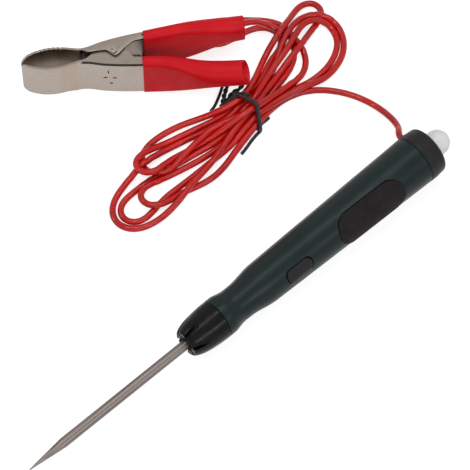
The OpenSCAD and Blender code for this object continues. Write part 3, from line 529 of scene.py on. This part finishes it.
def finish_sleeve(tube, height):
    """Smooths the tube, gives it its wall and rims, and puts it on the clip at the height."""
    face_out(tube)
    shape_by(tube, "SUBSURF", levels=2, render_levels=2)
    shape_by(tube, "SOLIDIFY", thickness=SLEEVE_WALL * MM, offset=-1)
    round_off(tube, 0.22, 2, 55)
    work_on(tube)
    bpy.ops.object.shade_smooth_by_angle(angle=math.radians(50))
    put(tube, CLIP @ Matrix.Translation((0, 0, height * MM)) @ LENGTHWAYS)
    print(tube.name, "faces:", len(tube.data.polygons))


vinyl_rear = ring_tube("vinyl_sleeve_rear", rear_rings)
finish_sleeve(vinyl_rear, 12.15)
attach(vinyl_rear, "root")
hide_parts("rear_sleeve")

# %% Front sleeve, with its open end cut at a slant
vinyl_front = ring_tube("vinyl_sleeve_front", front_rings)
bpy.ops.object.mode_set(mode="EDIT")
pick(lambda p: True)
cut = math.radians(20)
bpy.ops.mesh.bisect(
    plane_co=(4.4 * MM, -8 * MM, 53.3 * MM), clear_outer=True,
    plane_no=(-0.87 * math.sin(cut), -0.49 * math.sin(cut), math.cos(cut)),
)
bpy.ops.object.mode_set(mode="OBJECT")
finish_sleeve(vinyl_front, 11.15)
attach(vinyl_front, "front_lever")
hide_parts("front_sleeve")

# %% [markdown]
# The pad and the button both have an outline with round corners. Each starts as a ring whose four quarters
# are slid apart. Rings are then extruded up and inwards. The button's rings give its flange, its sides and
# its rounded top. The pad's rings only fill its outline: they are shrink-wrapped onto a cone as wide as the
# handle, so that the pad curves with it, and then it gets its thickness and a rounded rim.
# %% Helper for a block with round corners
def rounded_block(name, length, width, corner, levels, sides=64):
    """Rings round the outline, one at each level: (height, how far inside the outline)."""
    height, inset = levels[0]
    middle = (length / 2 - corner, width / 2 - corner)
    block = start_ring(name, sides, corner - inset)
    bpy.ops.transform.translate(value=(0, 0, height * MM))
    for way in (-1, 1):
        pick(lambda p: p.x * way > 0)
        bpy.ops.transform.translate(value=(way * middle[0] * MM, 0, 0))
        pick(lambda p: p.y * way > 0)
        bpy.ops.transform.translate(value=(0, way * middle[1] * MM, 0))
    for next_height, next_inset in levels[1:]:
        pick(lambda p: abs(p.z - height) < 0.01)
        bpy.ops.mesh.extrude_edges_move(
            TRANSFORM_OT_translate={"value": (0, 0, (next_height - height) * MM)}
        )
        shrink = (corner - next_inset) / (corner - inset)
        for x_way in (-1, 1):
            for y_way in (-1, 1):
                pick(lambda p: abs(p.z - next_height) < 0.01 and p.x * x_way > 0 and p.y * y_way > 0)
                centre = (x_way * middle[0] * MM, y_way * middle[1] * MM, next_height * MM)
                bpy.ops.transform.resize(value=(shrink, shrink, 1), center_override=centre)
        height, inset = next_height, next_inset
    pick(lambda p: abs(p.z - height) < 0.01)
    bpy.ops.mesh.edge_face_add()
    bpy.ops.object.mode_set(mode="OBJECT")
    return block


# %% Pad
# The tester's own axis as it lies, tilted onto its nose and cap, and rolled to bring the button up
TESTER = (
    Matrix.Translation((-13.698 * MM, 0, 8.3044 * MM))
    @ Matrix.Rotation(math.radians(-1.1746), 4, "Y") @ Matrix.Rotation(math.radians(58), 4, "X")
)
TAPER_FROM, TAPER_TO = 24, 104
RADIUS_FROM, RADIUS_TO = 8.75, 10.45
PAD_PROUD = 0.6


def handle_radius(along):
    """The tapered handle's radius at a place along it."""
    return RADIUS_FROM + (RADIUS_TO - RADIUS_FROM) * (along - TAPER_FROM) / (TAPER_TO - TAPER_FROM)


pad_levels = [(15, 0), (16, 0.6), (17, 1.6), (18, 2.8), (19, 4), (20, 5.1), (21, 6)]
pad = rounded_block("rubber_pad", 33.3, 13.7, 6.4, pad_levels, 80)
put(pad, Matrix.Translation((73.7 * MM, 0, 0)))
bpy.ops.object.select_all(action="DESELECT")
bpy.ops.mesh.primitive_cone_add(
    vertices=256, radius1=(handle_radius(40) + PAD_PROUD) * MM,
    radius2=(handle_radius(100) + PAD_PROUD) * MM, depth=60 * MM,
    location=(70 * MM, 0, 0), rotation=(0, math.radians(90), 0),
)
handle_guide = bpy.context.object
shape_by(
    pad, "SHRINKWRAP", target=handle_guide, wrap_method="PROJECT", use_project_z=True,
    use_negative_direction=True, use_positive_direction=False,
)
bpy.data.objects.remove(handle_guide)
face_out(pad, plate=True)
shape_by(pad, "SOLIDIFY", thickness=1.4 * MM, offset=-1)
round_off(pad, 0.5, 3, 55)
bpy.ops.object.shade_smooth_by_angle(angle=math.radians(60))
put(pad, TESTER)
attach(pad, "root")
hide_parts("grip_pad")
print("pad faces:", len(pad.data.polygons))

# %% Button
button_levels = [
    (5, -0.8), (5.9, -0.8), (5.92, 0), (8.75, 0), (9.0, 0.08), (9.2, 0.25), (9.36, 0.5), (9.47, 0.85),
    (9.54, 1.3), (9.58, 1.8), (9.6, 2.2),
]
button = rounded_block("push_button", 12.4, 5.6, 2.4, button_levels, 64)
bpy.ops.object.mode_set(mode="EDIT")
pick(lambda p: p.z < 5.01)
bpy.ops.mesh.edge_face_add()
bpy.ops.object.mode_set(mode="OBJECT")
face_out(button)
work_on(button)
bpy.ops.object.shade_smooth_by_angle(angle=math.radians(40))
put(button, TESTER @ Matrix.Translation((36 * MM, 0, 0)))
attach(button, "button")
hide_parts("switch_button")
print("button faces:", len(button.data.polygons))

# %% [markdown]
# The tie is a plastic-coated wire, wound once round the hank and twisted. Its loop has to hug the strands
# wherever they came to rest, so its points are found by laying a straight edge against the strands from
# all round. Its tails are pairs of thin wires that wind about each other. A plain torus would look like a
# rubber ring and would cut through the strands.
# %% Tie loop
HANK_HALF = 12  # no strand in the tie is further than this from its middle
loop_way = np.array([TIE_SLANT, 1.0]) / math.hypot(TIE_SLANT, 1)
beside = (lead_line[:, :2] - TIE_MIDDLE) @ np.array([1, -TIE_SLANT])
crossings = []
for i in np.nonzero(beside[:-1] * beside[1:] <= 0)[0]:
    at = lead_line[i] + (lead_line[i + 1] - lead_line[i]) * beside[i] / (beside[i] - beside[i + 1] + 1e-12)
    if abs(at[1] - TIE_MIDDLE[1]) < HANK_HALF:
        crossings.append(((at[:2] - TIE_MIDDLE) @ loop_way, at[2]))
crossings = np.array(crossings)
print("strands in the tie:", len(crossings))

# The seen side of the loop bows towards the spike's far end: x for each y
bow_y = [54, 55.6, 57.9, 61.2, 64.4, 67, 69, 70.6, 73]
bow_x = [57.6, 58.6, 60.2, 61.6, 62.5, 62.6, 61.8, 60.4, 59.4]
LOOP_SIDES = 40
TIE_OFF = LEAD_D / 2 + 0.1 + TIE_D / 2
loop_points = []
for angle in np.arange(LOOP_SIDES) / LOOP_SIDES * 2 * math.pi:
    way = np.array([math.cos(angle), math.sin(angle)])
    outermost = crossings[(crossings @ way).argmax()] + TIE_OFF * way
    flat = TIE_MIDDLE + outermost[0] * loop_way
    above = min(max((outermost[1] - 2) / 3, 0), 1)
    x = flat[0] * (1 - above) + np.interp(flat[1], bow_y, bow_x) * above
    loop_points.append((x, flat[1], max(outermost[1], TIE_D / 2 + CLEAR)))
print("loop points:", len(loop_points), "highest, mm:", round(max(p[2] for p in loop_points), 1))


# %% Helpers for wires
def bent_wire(name, points, thickness, closed=False):
    """A round wire through the points, as a mesh."""
    bent = bpy.data.curves.new(name, "CURVE")
    bent.dimensions = "3D"
    bent.bevel_depth = thickness / 2 * MM
    bent.bevel_resolution = 3
    bent.use_fill_caps = True
    line = bent.splines.new("POLY")
    line.points.add(len(points) - 1)
    line.points.foreach_set("co", np.c_[np.array(points) * MM, np.ones(len(points))].ravel())
    line.use_cyclic_u = closed
    line.use_smooth = True
    piece = bpy.data.objects.new(name, bent)
    bpy.context.scene.collection.objects.link(piece)
    work_on(piece)
    bpy.ops.object.convert(target="MESH")
    return bpy.context.object


def twisted_pair(name, places, thickness, pitch):
    """Two wires that wind about each other along the places."""
    step = 0.4
    middle = evenly_spaced(curve_through(places, 12), step)
    ahead = np.gradient(middle, axis=0)
    ahead /= np.linalg.norm(ahead, axis=1)[:, None]
    side = np.cross(ahead, (0, 0, 1))
    side /= np.linalg.norm(side, axis=1)[:, None] + 1e-9
    up = np.cross(side, ahead)
    wires = []
    for start in (0, math.pi):
        turn = (start + 2 * math.pi * np.arange(len(middle)) * step / pitch)[:, None]
        line = middle + thickness * 0.42 * (np.cos(turn) * side + np.sin(turn) * up)
        line[:, 2] = np.maximum(line[:, 2], thickness / 2 + CLEAR)
        wires.append(bent_wire(name, line, thickness))
    return wires


# %% Tie tails
# Each pair is its places, its wires' thickness, and how far they run in one turn about each other
twisted = {
    "tie_knob": (
        [(62.8, 67.2, 7.6), (61.6, 69.2, 7.6), (59.9, 70.6, 6.8), (58.6, 71.3, 5.2), (57.8, 72.2, 3.4),
         (56.4, 72.9, 1.8), (54.8, 73.5, 1.1)], 1.4, 4.4,
    ),
    "tie_right_tail": (
        [(54.8, 73.4, 1.2), (55.6, 73.7, 1.3), (57.3, 74.3, 1.2), (59.9, 75.1, 1.1), (62.2, 75.6, 1.2),
         (64, 75.2, 1.1), (66.6, 75.6, 1.1), (69.6, 76.8, 1.1), (71.4, 78.2, 1)], 1.1, 6.2,
    ),
    "tie_left_tail": (
        [(54.2, 73.8, 1.2), (55.6, 74.7, 1.2), (58.4, 76.9, 1.2), (61.8, 79.2, 1.2), (64.4, 81.2, 1.1)],
        1.1, 5.2,
    ),
}
# Each single wire is its places and its thickness
single = {
    "tie_outer_tail": (
        [(64.4, 81.2, 0.8), (64.6, 82.6, 0.7), (62.9, 82.3, 0.6), (60.6, 80.6, 0.6), (57.1, 78.4, 0.6),
         (52.7, 76.1, 0.6), (49.6, 75.2, 0.6)], 1.3,
    ),
    "tie_low_tail": (
        [(59.1, 56.2, 2.2), (58.4, 55, 1), (55.5, 54.6, 0.72), (52.1, 53.8, 0.72), (48.8, 52.8, 0.72),
         (45.5, 52, 0.72)], 1.4,
    ),
    "tie_nub": ([(58.3, 56.1, 2.8), (61, 56.9, 1.5), (63.3, 57.2, 0.9), (65, 57.4, 0.85)], 1.6),
}
tie_parts = [bent_wire("tie", loop_points, TIE_D, closed=True)]
for name, (places, thickness, pitch) in twisted.items():
    tie_parts += twisted_pair(name, places, thickness, pitch)
for name, (places, thickness) in single.items():
    tie_parts.append(bent_wire(name, curve_through(places, 8), thickness))
bpy.ops.object.select_all(action="DESELECT")
for part in tie_parts:
    part.select_set(True)
bpy.context.view_layer.objects.active = tie_parts[0]
bpy.ops.object.join()
tie = bpy.context.object
tie.name = "twist_tie"
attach(tie, "root")
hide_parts("hank_tie")
print("tie faces:", len(tie.data.polygons))

# %% [markdown]
# The spike and the two pressed levers have the right shape in the CAD, but every edge there is perfectly
# sharp, and a real edge is slightly round and catches a line of light. Each could be modelled again, but
# then it might miss the solid. So each gets a copy of its mesh, with its doubles merged and its flat
# faces joined, and a small bevel on the edges. The nose, the cap and the handle stay as the CAD has them.
# %% Copies with rounded edges
def with_round_edges(name, node, edge, angle=35):
    """A piece that stands for the node, with its edges rounded by edge millimetres."""
    piece = bpy.data.objects.new(name, nodes[node].data.copy())
    bpy.context.scene.collection.objects.link(piece)
    work_on(piece)
    if piece.data.has_custom_normals:
        bpy.ops.mesh.customdata_custom_splitnormals_clear()
    bpy.ops.object.mode_set(mode="EDIT")
    bpy.ops.mesh.select_all(action="SELECT")
    bpy.ops.mesh.remove_doubles(threshold=2e-6)
    bpy.ops.mesh.dissolve_limited(angle_limit=math.radians(0.6))
    bpy.ops.object.mode_set(mode="OBJECT")
    round_off(piece, edge, 3, angle)
    bpy.ops.object.shade_smooth_by_angle(angle=math.radians(angle))
    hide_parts(node)
    print(name, "faces:", len(piece.data.polygons))
    return piece


SPIKE_EDGE, SHEET_EDGE = 0.05, 0.28
spike = with_round_edges("spike", "probe_rod", SPIKE_EDGE, 20)
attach(spike, "root")
lever_rear = with_round_edges("clip_lever_rear", "rear_jaw", SHEET_EDGE)
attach(lever_rear, "root")
lever_front = with_round_edges("clip_lever_front", "front_jaw", SHEET_EDGE)
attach(lever_front, "front_lever")

# %% [markdown]
# A plastic or steel surface is never one flat colour. Each finish below starts as a plain shader with its
# own colour and gloss, and then a few small helpers add what the real one has: a slow drift in its
# colour, a gloss that varies, and a fine grain in its relief. Image textures could do it, but patterns
# made by nodes stay sharp at any size and follow the piece when it moves.
# %% Helpers for the finishes
def paint(red, green, blue):
    """A colour as a screen shows it, 0 to 255, as the linear light that the shader wants."""
    return [((v / 255 + 0.055) / 1.055) ** 2.4 if v > 10 else v / 3294.6 for v in (red, green, blue)]


def finish(name, colour, roughness, metallic=0.0, specular=0.5, extra=None):
    """A plain shader; extra holds more of its sockets by name."""
    made = bpy.data.materials.new(name)
    made.use_nodes = True
    sockets = made.node_tree.nodes["Principled BSDF"].inputs
    sockets["Base Color"].default_value = (*colour, 1)
    sockets["Roughness"].default_value = roughness
    sockets["Metallic"].default_value = metallic
    sockets["Specular IOR Level"].default_value = specular
    for socket, value in (extra or {}).items():
        sockets[socket].default_value = value
    return made


def clouds(made, size_mm, detail=3, stretch=(1, 1, 1), turn=0.0, mix=0.55):
    """A noise whose blots are about size_mm across, drawn out along an axis where stretch is above 1."""
    tree = made.node_tree
    place = tree.nodes.new("ShaderNodeTexCoord")
    frame_of = tree.nodes.new("ShaderNodeMapping")
    frame_of.vector_type = "TEXTURE"
    frame_of.inputs["Rotation"].default_value = (0, 0, turn)
    frame_of.inputs["Scale"].default_value = stretch
    noise = tree.nodes.new("ShaderNodeTexNoise")
    noise.inputs["Scale"].default_value = 1 / (size_mm * MM)
    noise.inputs["Detail"].default_value = detail
    noise.inputs["Roughness"].default_value = mix
    tree.links.new(place.outputs["Object"], frame_of.inputs["Vector"])
    tree.links.new(frame_of.outputs["Vector"], noise.inputs["Vector"])
    return noise.outputs["Fac"]


# %% Helpers that spread a pattern
def ramp(tree, pattern, stops):
    """Colours along the pattern: stops are (place, colour) pairs."""
    made = tree.nodes.new("ShaderNodeValToRGB")
    points = made.color_ramp.elements
    while len(points) < len(stops):
        points.new(0.5)
    for point, (at, colour) in zip(points, stops):
        point.position = at
        point.color = (*colour, 1)
    tree.links.new(pattern, made.inputs["Fac"])
    return made.outputs["Color"]


def tint(made, pattern, *stops):
    """A base colour that goes through the stops with the pattern."""
    tree = made.node_tree
    tree.links.new(ramp(tree, pattern, stops), tree.nodes["Principled BSDF"].inputs["Base Color"])


def gloss(made, pattern, low, high):
    """A roughness that goes from low to high with the pattern, whose middle part is all that is used."""
    tree = made.node_tree
    drift = between(tree, pattern, low, high, 0.3, 0.7)
    tree.links.new(drift, tree.nodes["Principled BSDF"].inputs["Roughness"])


def relief(made, pattern, height_mm, strength=1.0):
    """Bumps of the given height, on top of the bumps that are there already."""
    tree = made.node_tree
    bump = tree.nodes.new("ShaderNodeBump")
    bump.inputs["Distance"].default_value = height_mm * MM
    bump.inputs["Strength"].default_value = strength
    shader = tree.nodes["Principled BSDF"]
    if shader.inputs["Normal"].is_linked:
        tree.links.new(shader.inputs["Normal"].links[0].from_socket, bump.inputs["Normal"])
    tree.links.new(pattern, bump.inputs["Height"])
    tree.links.new(bump.outputs["Normal"], shader.inputs["Normal"])


# %% Helpers that mark a region
CLIP_FROM, CLIP_TO = -40, 20


def surface(made, kind, axis, on_clip=False):
    """One axis of the surface's place or normal; on_clip measures the place from the clip's pin."""
    tree = made.node_tree
    read = tree.nodes.new("ShaderNodeTexCoord").outputs[kind]
    if on_clip:
        frame_of = tree.nodes.new("ShaderNodeMapping")
        frame_of.vector_type = "TEXTURE"
        frame_of.inputs["Location"].default_value = CLIP.translation
        frame_of.inputs["Rotation"].default_value = (0, 0, CLIP_TURN)
        tree.links.new(read, frame_of.inputs["Vector"])
        read = frame_of.outputs["Vector"]
    parts = tree.nodes.new("ShaderNodeSeparateXYZ")
    tree.links.new(read, parts.inputs["Vector"])
    return parts.outputs[axis]


def times(made, *masks):
    """A mask that is 1 only where all the masks are."""
    return joined(made.node_tree, "MULTIPLY", *masks)


def facing(made, low, high):
    """A mask that is 1 where the surface's normal points up by more than high, and 0 below low."""
    return between(made.node_tree, surface(made, "Normal", "Z"), 0.0, 1.0, low, high)


def height_band(made, low, high):
    """A mask that is 1 above the height high, in millimetres, and 0 below low."""
    return between(made.node_tree, surface(made, "Object", "Z"), 0.0, 1.0, low * MM, high * MM)


def along_clip(made, *stops):
    """A mask that follows the clip's length: stops are (millimetres from the pin, value) pairs."""
    tree = made.node_tree
    place = surface(made, "Object", "X", on_clip=True)
    along = between(tree, place, 0.0, 1.0, CLIP_FROM * MM, CLIP_TO * MM)
    return ramp(
        tree, along, [((at - CLIP_FROM) / (CLIP_TO - CLIP_FROM), (value,) * 3) for at, value in stops]
    )


def jaw_insides(made):
    """A mask that is 1 on the jaws' sides that face each other."""
    tree = made.node_tree
    across = tree.nodes.new("ShaderNodeVectorMath")
    across.operation = "DOT_PRODUCT"
    across.inputs[1].default_value = (-math.sin(CLIP_TURN), math.cos(CLIP_TURN), 0)
    tree.links.new(tree.nodes.new("ShaderNodeTexCoord").outputs["Normal"], across.inputs[0])
    inward = times(made, surface(made, "Object", "Y", on_clip=True), across.outputs["Value"])
    inside = between(tree, inward, 0.0, 1.0, -0.3 * MM, -0.8 * MM)
    return times(made, inside, along_clip(made, (-20, 1), (-12, 0)))


def shade(made, mask, colour):
    """Multiplies the base colour by another where the mask is 1."""
    tree = made.node_tree
    base = tree.nodes["Principled BSDF"].inputs["Base Color"]
    blend = tree.nodes.new("ShaderNodeMix")
    blend.data_type = "RGBA"
    blend.blend_type = "MULTIPLY"
    tree.links.new(base.links[0].from_socket, blend.inputs["A"])
    blend.inputs["B"].default_value = (*colour, 1)
    tree.links.new(mask, blend.inputs["Factor"])
    tree.links.new(blend.outputs["Result"], base)


def dress(made, *pieces):
    """Gives the finish to the pieces; a name stands for a CAD node."""
    for piece in pieces:
        piece = nodes[piece] if isinstance(piece, str) else piece
        piece.data.materials.clear()
        piece.data.materials.append(made)
    print(made.name, "on", len(pieces), "pieces")


# %% [markdown]
# The insulation is soft, glossy, slightly clear plastic: light goes a little way in and comes out redder.
# Real clear plastic over a copper core would be slow to render, so a little subsurface light stands in
# for it. Bright lengthwise glints come from the softboxes.
# %% Lead insulation
lead_pvc = finish(
    "lead_insulation", paint(204, 14, 10), 0.14, specular=0.34,
    extra={"Subsurface Weight": 0.15, "Subsurface Radius": (1.0, 0.15, 0.1), "Subsurface Scale": 0.001},
)
tint(
    lead_pvc, clouds(lead_pvc, 14),
    (0.3, paint(188, 9, 8)), (0.5, paint(204, 14, 10)), (0.7, paint(218, 24, 14)),
)
gloss(lead_pvc, clouds(lead_pvc, 4), 0.1, 0.18)
relief(lead_pvc, clouds(lead_pvc, 4, 2), 0.02)
dress(lead_pvc, lead, "lead_inner")

# %% [markdown]
# The handle is a satin moulding in a very dark green-grey. The mould's skin gives it a fine even grain,
# and handling polishes it in places, so the gloss drifts along it. The nose is harder and glossier, nearly
# black, and the cap is a duller black. One black could do for all three, but the photo tells them apart.
# %% Handle plastic
handle_plastic = finish("handle_plastic", paint(22, 36, 35), 0.36, specular=0.17)
tint(handle_plastic, clouds(handle_plastic, 22, 4), (0.3, paint(19, 32, 32)), (0.7, paint(25, 41, 40)))
gloss(handle_plastic, clouds(handle_plastic, 9, 3, (4, 1, 1)), 0.3, 0.42)
relief(handle_plastic, clouds(handle_plastic, 0.35, 2), 0.008)
dress(handle_plastic, "handle_shell")

# %% Nose and cap plastic
nose_plastic = finish("nose_plastic", paint(8, 8, 9), 0.24, specular=0.13)
tint(nose_plastic, clouds(nose_plastic, 6), (0.35, paint(6, 6, 7)), (0.7, paint(13, 12, 14)))
gloss(nose_plastic, clouds(nose_plastic, 3, 4), 0.2, 0.34)
relief(nose_plastic, clouds(nose_plastic, 2.5, 2), 0.03)
dress(nose_plastic, "nose_cap")

cap_plastic = finish("cap_plastic", paint(20, 19, 21), 0.48, specular=0.22)
tint(cap_plastic, clouds(cap_plastic, 7), (0.3, paint(16, 15, 17)), (0.7, paint(26, 25, 27)))
gloss(cap_plastic, clouds(cap_plastic, 3), 0.42, 0.58)
relief(cap_plastic, clouds(cap_plastic, 0.3, 2), 0.012)
dress(cap_plastic, "rear_cap", "lead_bush", button)

# %% [markdown]
# The pad is dull, slightly warm rubber that feels dry. It takes almost no highlight, so its specular is
# low, and its grain is a little coarser than the handle's.
# %% Pad rubber
pad_rubber = finish("pad_rubber", paint(30, 26, 27), 0.7, specular=0.15)
tint(pad_rubber, clouds(pad_rubber, 8, 4), (0.3, paint(26, 22, 23)), (0.7, paint(36, 31, 32)))
gloss(pad_rubber, clouds(pad_rubber, 2.5), 0.64, 0.8)
relief(pad_rubber, clouds(pad_rubber, 0.4, 2), 0.02)
dress(pad_rubber, pad)

# %% [markdown]
# The spike is ground and polished along its length, so it is streaked: light, dark and faintly pink lines
# run from the nose to the point. An ordinary noise would give blots, so this one is drawn out three hundred
# times along the spike. A sharper gloss would break up into dashes on so thin a piece.
# %% Spike steel
rod_steel = finish("rod_steel", paint(120, 112, 108), 0.24, metallic=1.0)
streaks = clouds(rod_steel, 1.6, 1, (300, 1, 1))
tint(
    rod_steel, streaks, (0.3, paint(100, 93, 90)), (0.42, paint(114, 106, 103)),
    (0.5, paint(130, 122, 119)), (0.56, paint(120, 110, 106)), (0.7, paint(104, 96, 94)),
)
gloss(rod_steel, clouds(rod_steel, 2, 3, (30, 1, 1)), 0.38, 0.48)
dress(rod_steel, spike)

# %% [markdown]
# The clip is pressed from nickel-plated sheet. The plating is satin and slightly warm, with the faint
# rolling lines of the sheet running along the levers and small smudges from handling. Shade and a warm
# reflection are painted onto it through masks made from each point's place and direction.
# %% Clip steel
clip_steel = finish("clip_steel", paint(160, 149, 141), 0.3, metallic=1.0)
rolling = clouds(clip_steel, 0.25, 3, (24, 1, 1), CLIP_TURN)
tint(
    clip_steel, rolling,
    (0.25, paint(152, 141, 133)), (0.5, paint(161, 150, 142)), (0.75, paint(169, 159, 151)),
)
gloss(clip_steel, clouds(clip_steel, 6, 4), 0.26, 0.38)
relief(clip_steel, clouds(clip_steel, 0.25, 2, (20, 1, 1), CLIP_TURN), 0.002)

# %% Painted shade and reflection on the clip
# Painted shade: faces that point up, such as the flanges, are darkened, and a black line of shade is
# painted along the fold beside the pin
shade(clip_steel, facing(clip_steel, 0.8, 0.95), (0.78, 0.77, 0.74))
fold = times(
    clip_steel, height_band(clip_steel, 19.5, 19.65), facing(clip_steel, 0.97, 0.9),
    along_clip(clip_steel, (-14, 0), (-13, 1), (20, 1)),
)
shade(clip_steel, fold, (0.03, 0.03, 0.03))
# Painted shade: the jaws' insides, which face each other, are darkened
shade(clip_steel, jaw_insides(clip_steel), (0.5, 0.45, 0.39))
# Painted reflection: the bend before the jaw is tinted warm and pinkish
shade(clip_steel, along_clip(clip_steel, (-24, 0), (-21, 1), (-16, 1), (-14.5, 0)), (1.0, 0.93, 0.87))
dress(clip_steel, lever_rear, lever_front)

# %% [markdown]
# The sleeves are soft vinyl, dipped and pulled on, with an even red and a dull shine. A flat red would look
# like paper, so two reliefs are laid over each other: slow waves along the sleeve, where it stretches over
# the lever, and a fine skin.
# %% Sleeve vinyl
sleeve_vinyl = finish("sleeve_vinyl", paint(224, 20, 34), 0.5, specular=0.16)
tint(sleeve_vinyl, clouds(sleeve_vinyl, 12, 3), (0.3, paint(218, 16, 30)), (0.7, paint(230, 26, 40)))
gloss(sleeve_vinyl, clouds(sleeve_vinyl, 5, 3), 0.42, 0.56)
relief(sleeve_vinyl, clouds(sleeve_vinyl, 3, 2, (6, 1, 1), CLIP_TURN), 0.05)
relief(sleeve_vinyl, clouds(sleeve_vinyl, 0.35, 2), 0.008)
dress(sleeve_vinyl, vinyl_rear, vinyl_front)

# %% [markdown]
# The lens is frosted plastic. It could be clear with a rough skin, but in daylight an unlit frosted lens
# mostly scatters white light, so it is a pale surface with a little light passing under it.
# %% Lens
lens_plastic = finish(
    "lens_plastic", paint(244, 242, 240), 0.3,
    extra={"Subsurface Weight": 0.3, "Subsurface Scale": 0.002},
)
tint(lens_plastic, clouds(lens_plastic, 4), (0.3, paint(246, 243, 241)), (0.7, paint(252, 251, 250)))
gloss(lens_plastic, clouds(lens_plastic, 2), 0.28, 0.42)
relief(lens_plastic, clouds(lens_plastic, 0.3, 2), 0.006)
dress(lens_plastic, "lamp_dome")

# %% [markdown]
# The tie's wire has a thin black plastic coat. A smooth black would do from afar, but twisting creases it,
# so its relief is coarse for so thin a piece, and its gloss changes within a millimetre.
# %% Tie plastic
tie_plastic = finish("tie_plastic", paint(20, 18, 20), 0.45, specular=0.35)
tint(tie_plastic, clouds(tie_plastic, 2), (0.3, paint(14, 13, 15)), (0.7, paint(28, 26, 28)))
gloss(tie_plastic, clouds(tie_plastic, 1), 0.36, 0.55)
relief(tie_plastic, clouds(tie_plastic, 0.6, 2), 0.03)
dress(tie_plastic, tie)

# %% [markdown]
# The parts inside the handle aren't seen until it is opened, but they are real parts, so each gets its
# own finish too: bright wire, turned brass, green board, pale plastic and glass. The clip's pin and
# spring are steel as well, and the pin is blotched with darker and lighter patches.
# %% Steel of the springs and the pin
spring_steel = finish("spring_steel", paint(188, 188, 190), 0.25, metallic=1.0)
tint(spring_steel, clouds(spring_steel, 0.6, 2), (0.3, paint(150, 150, 153)), (0.7, paint(208, 208, 210)))
dress(spring_steel, "contact_spring", "clip_spring", "lead_crimp")

pin_steel = finish("pin_steel", paint(150, 145, 140), 0.3, metallic=1.0)
tint(pin_steel, clouds(pin_steel, 0.8, 3), (0.35, paint(96, 91, 88)), (0.65, paint(172, 167, 162)))
gloss(pin_steel, clouds(pin_steel, 0.5), 0.22, 0.45)
dress(pin_steel, "pivot_pin")

# %% Brass, board, pale plastic and glass
contact_brass = finish("contact_brass", paint(202, 168, 96), 0.3, metallic=1.0)
tint(contact_brass, clouds(contact_brass, 1.5), (0.3, paint(180, 146, 80)), (0.7, paint(214, 182, 110)))
gloss(contact_brass, clouds(contact_brass, 0.8, 3, (1, 8, 8)), 0.22, 0.4)
dress(contact_brass, "rod_socket", "board_contact", "lamp_terminals", "lamp_socket")

board_laminate = finish("board_laminate", paint(34, 88, 50), 0.45)
weave = clouds(board_laminate, 0.8, 3, (3, 1, 1))
tint(board_laminate, weave, (0.35, paint(28, 76, 42)), (0.65, paint(42, 98, 58)))
relief(board_laminate, clouds(board_laminate, 0.5), 0.01)
dress(board_laminate, "circuit_board")

pale_plastic = finish("pale_plastic", paint(222, 212, 188), 0.4)
tint(pale_plastic, clouds(pale_plastic, 1.2), (0.35, paint(212, 200, 174)), (0.65, paint(230, 222, 200)))
dress(pale_plastic, "switch_plunger", "switch_body", "resistors")

bulb_glass = finish("bulb_glass", paint(240, 240, 236), 0.08, extra={"Transmission Weight": 0.8})
gloss(bulb_glass, clouds(bulb_glass, 1.5), 0.05, 0.12)
dress(bulb_glass, "lamp_bulb")
print("finishes:", len(bpy.data.materials))
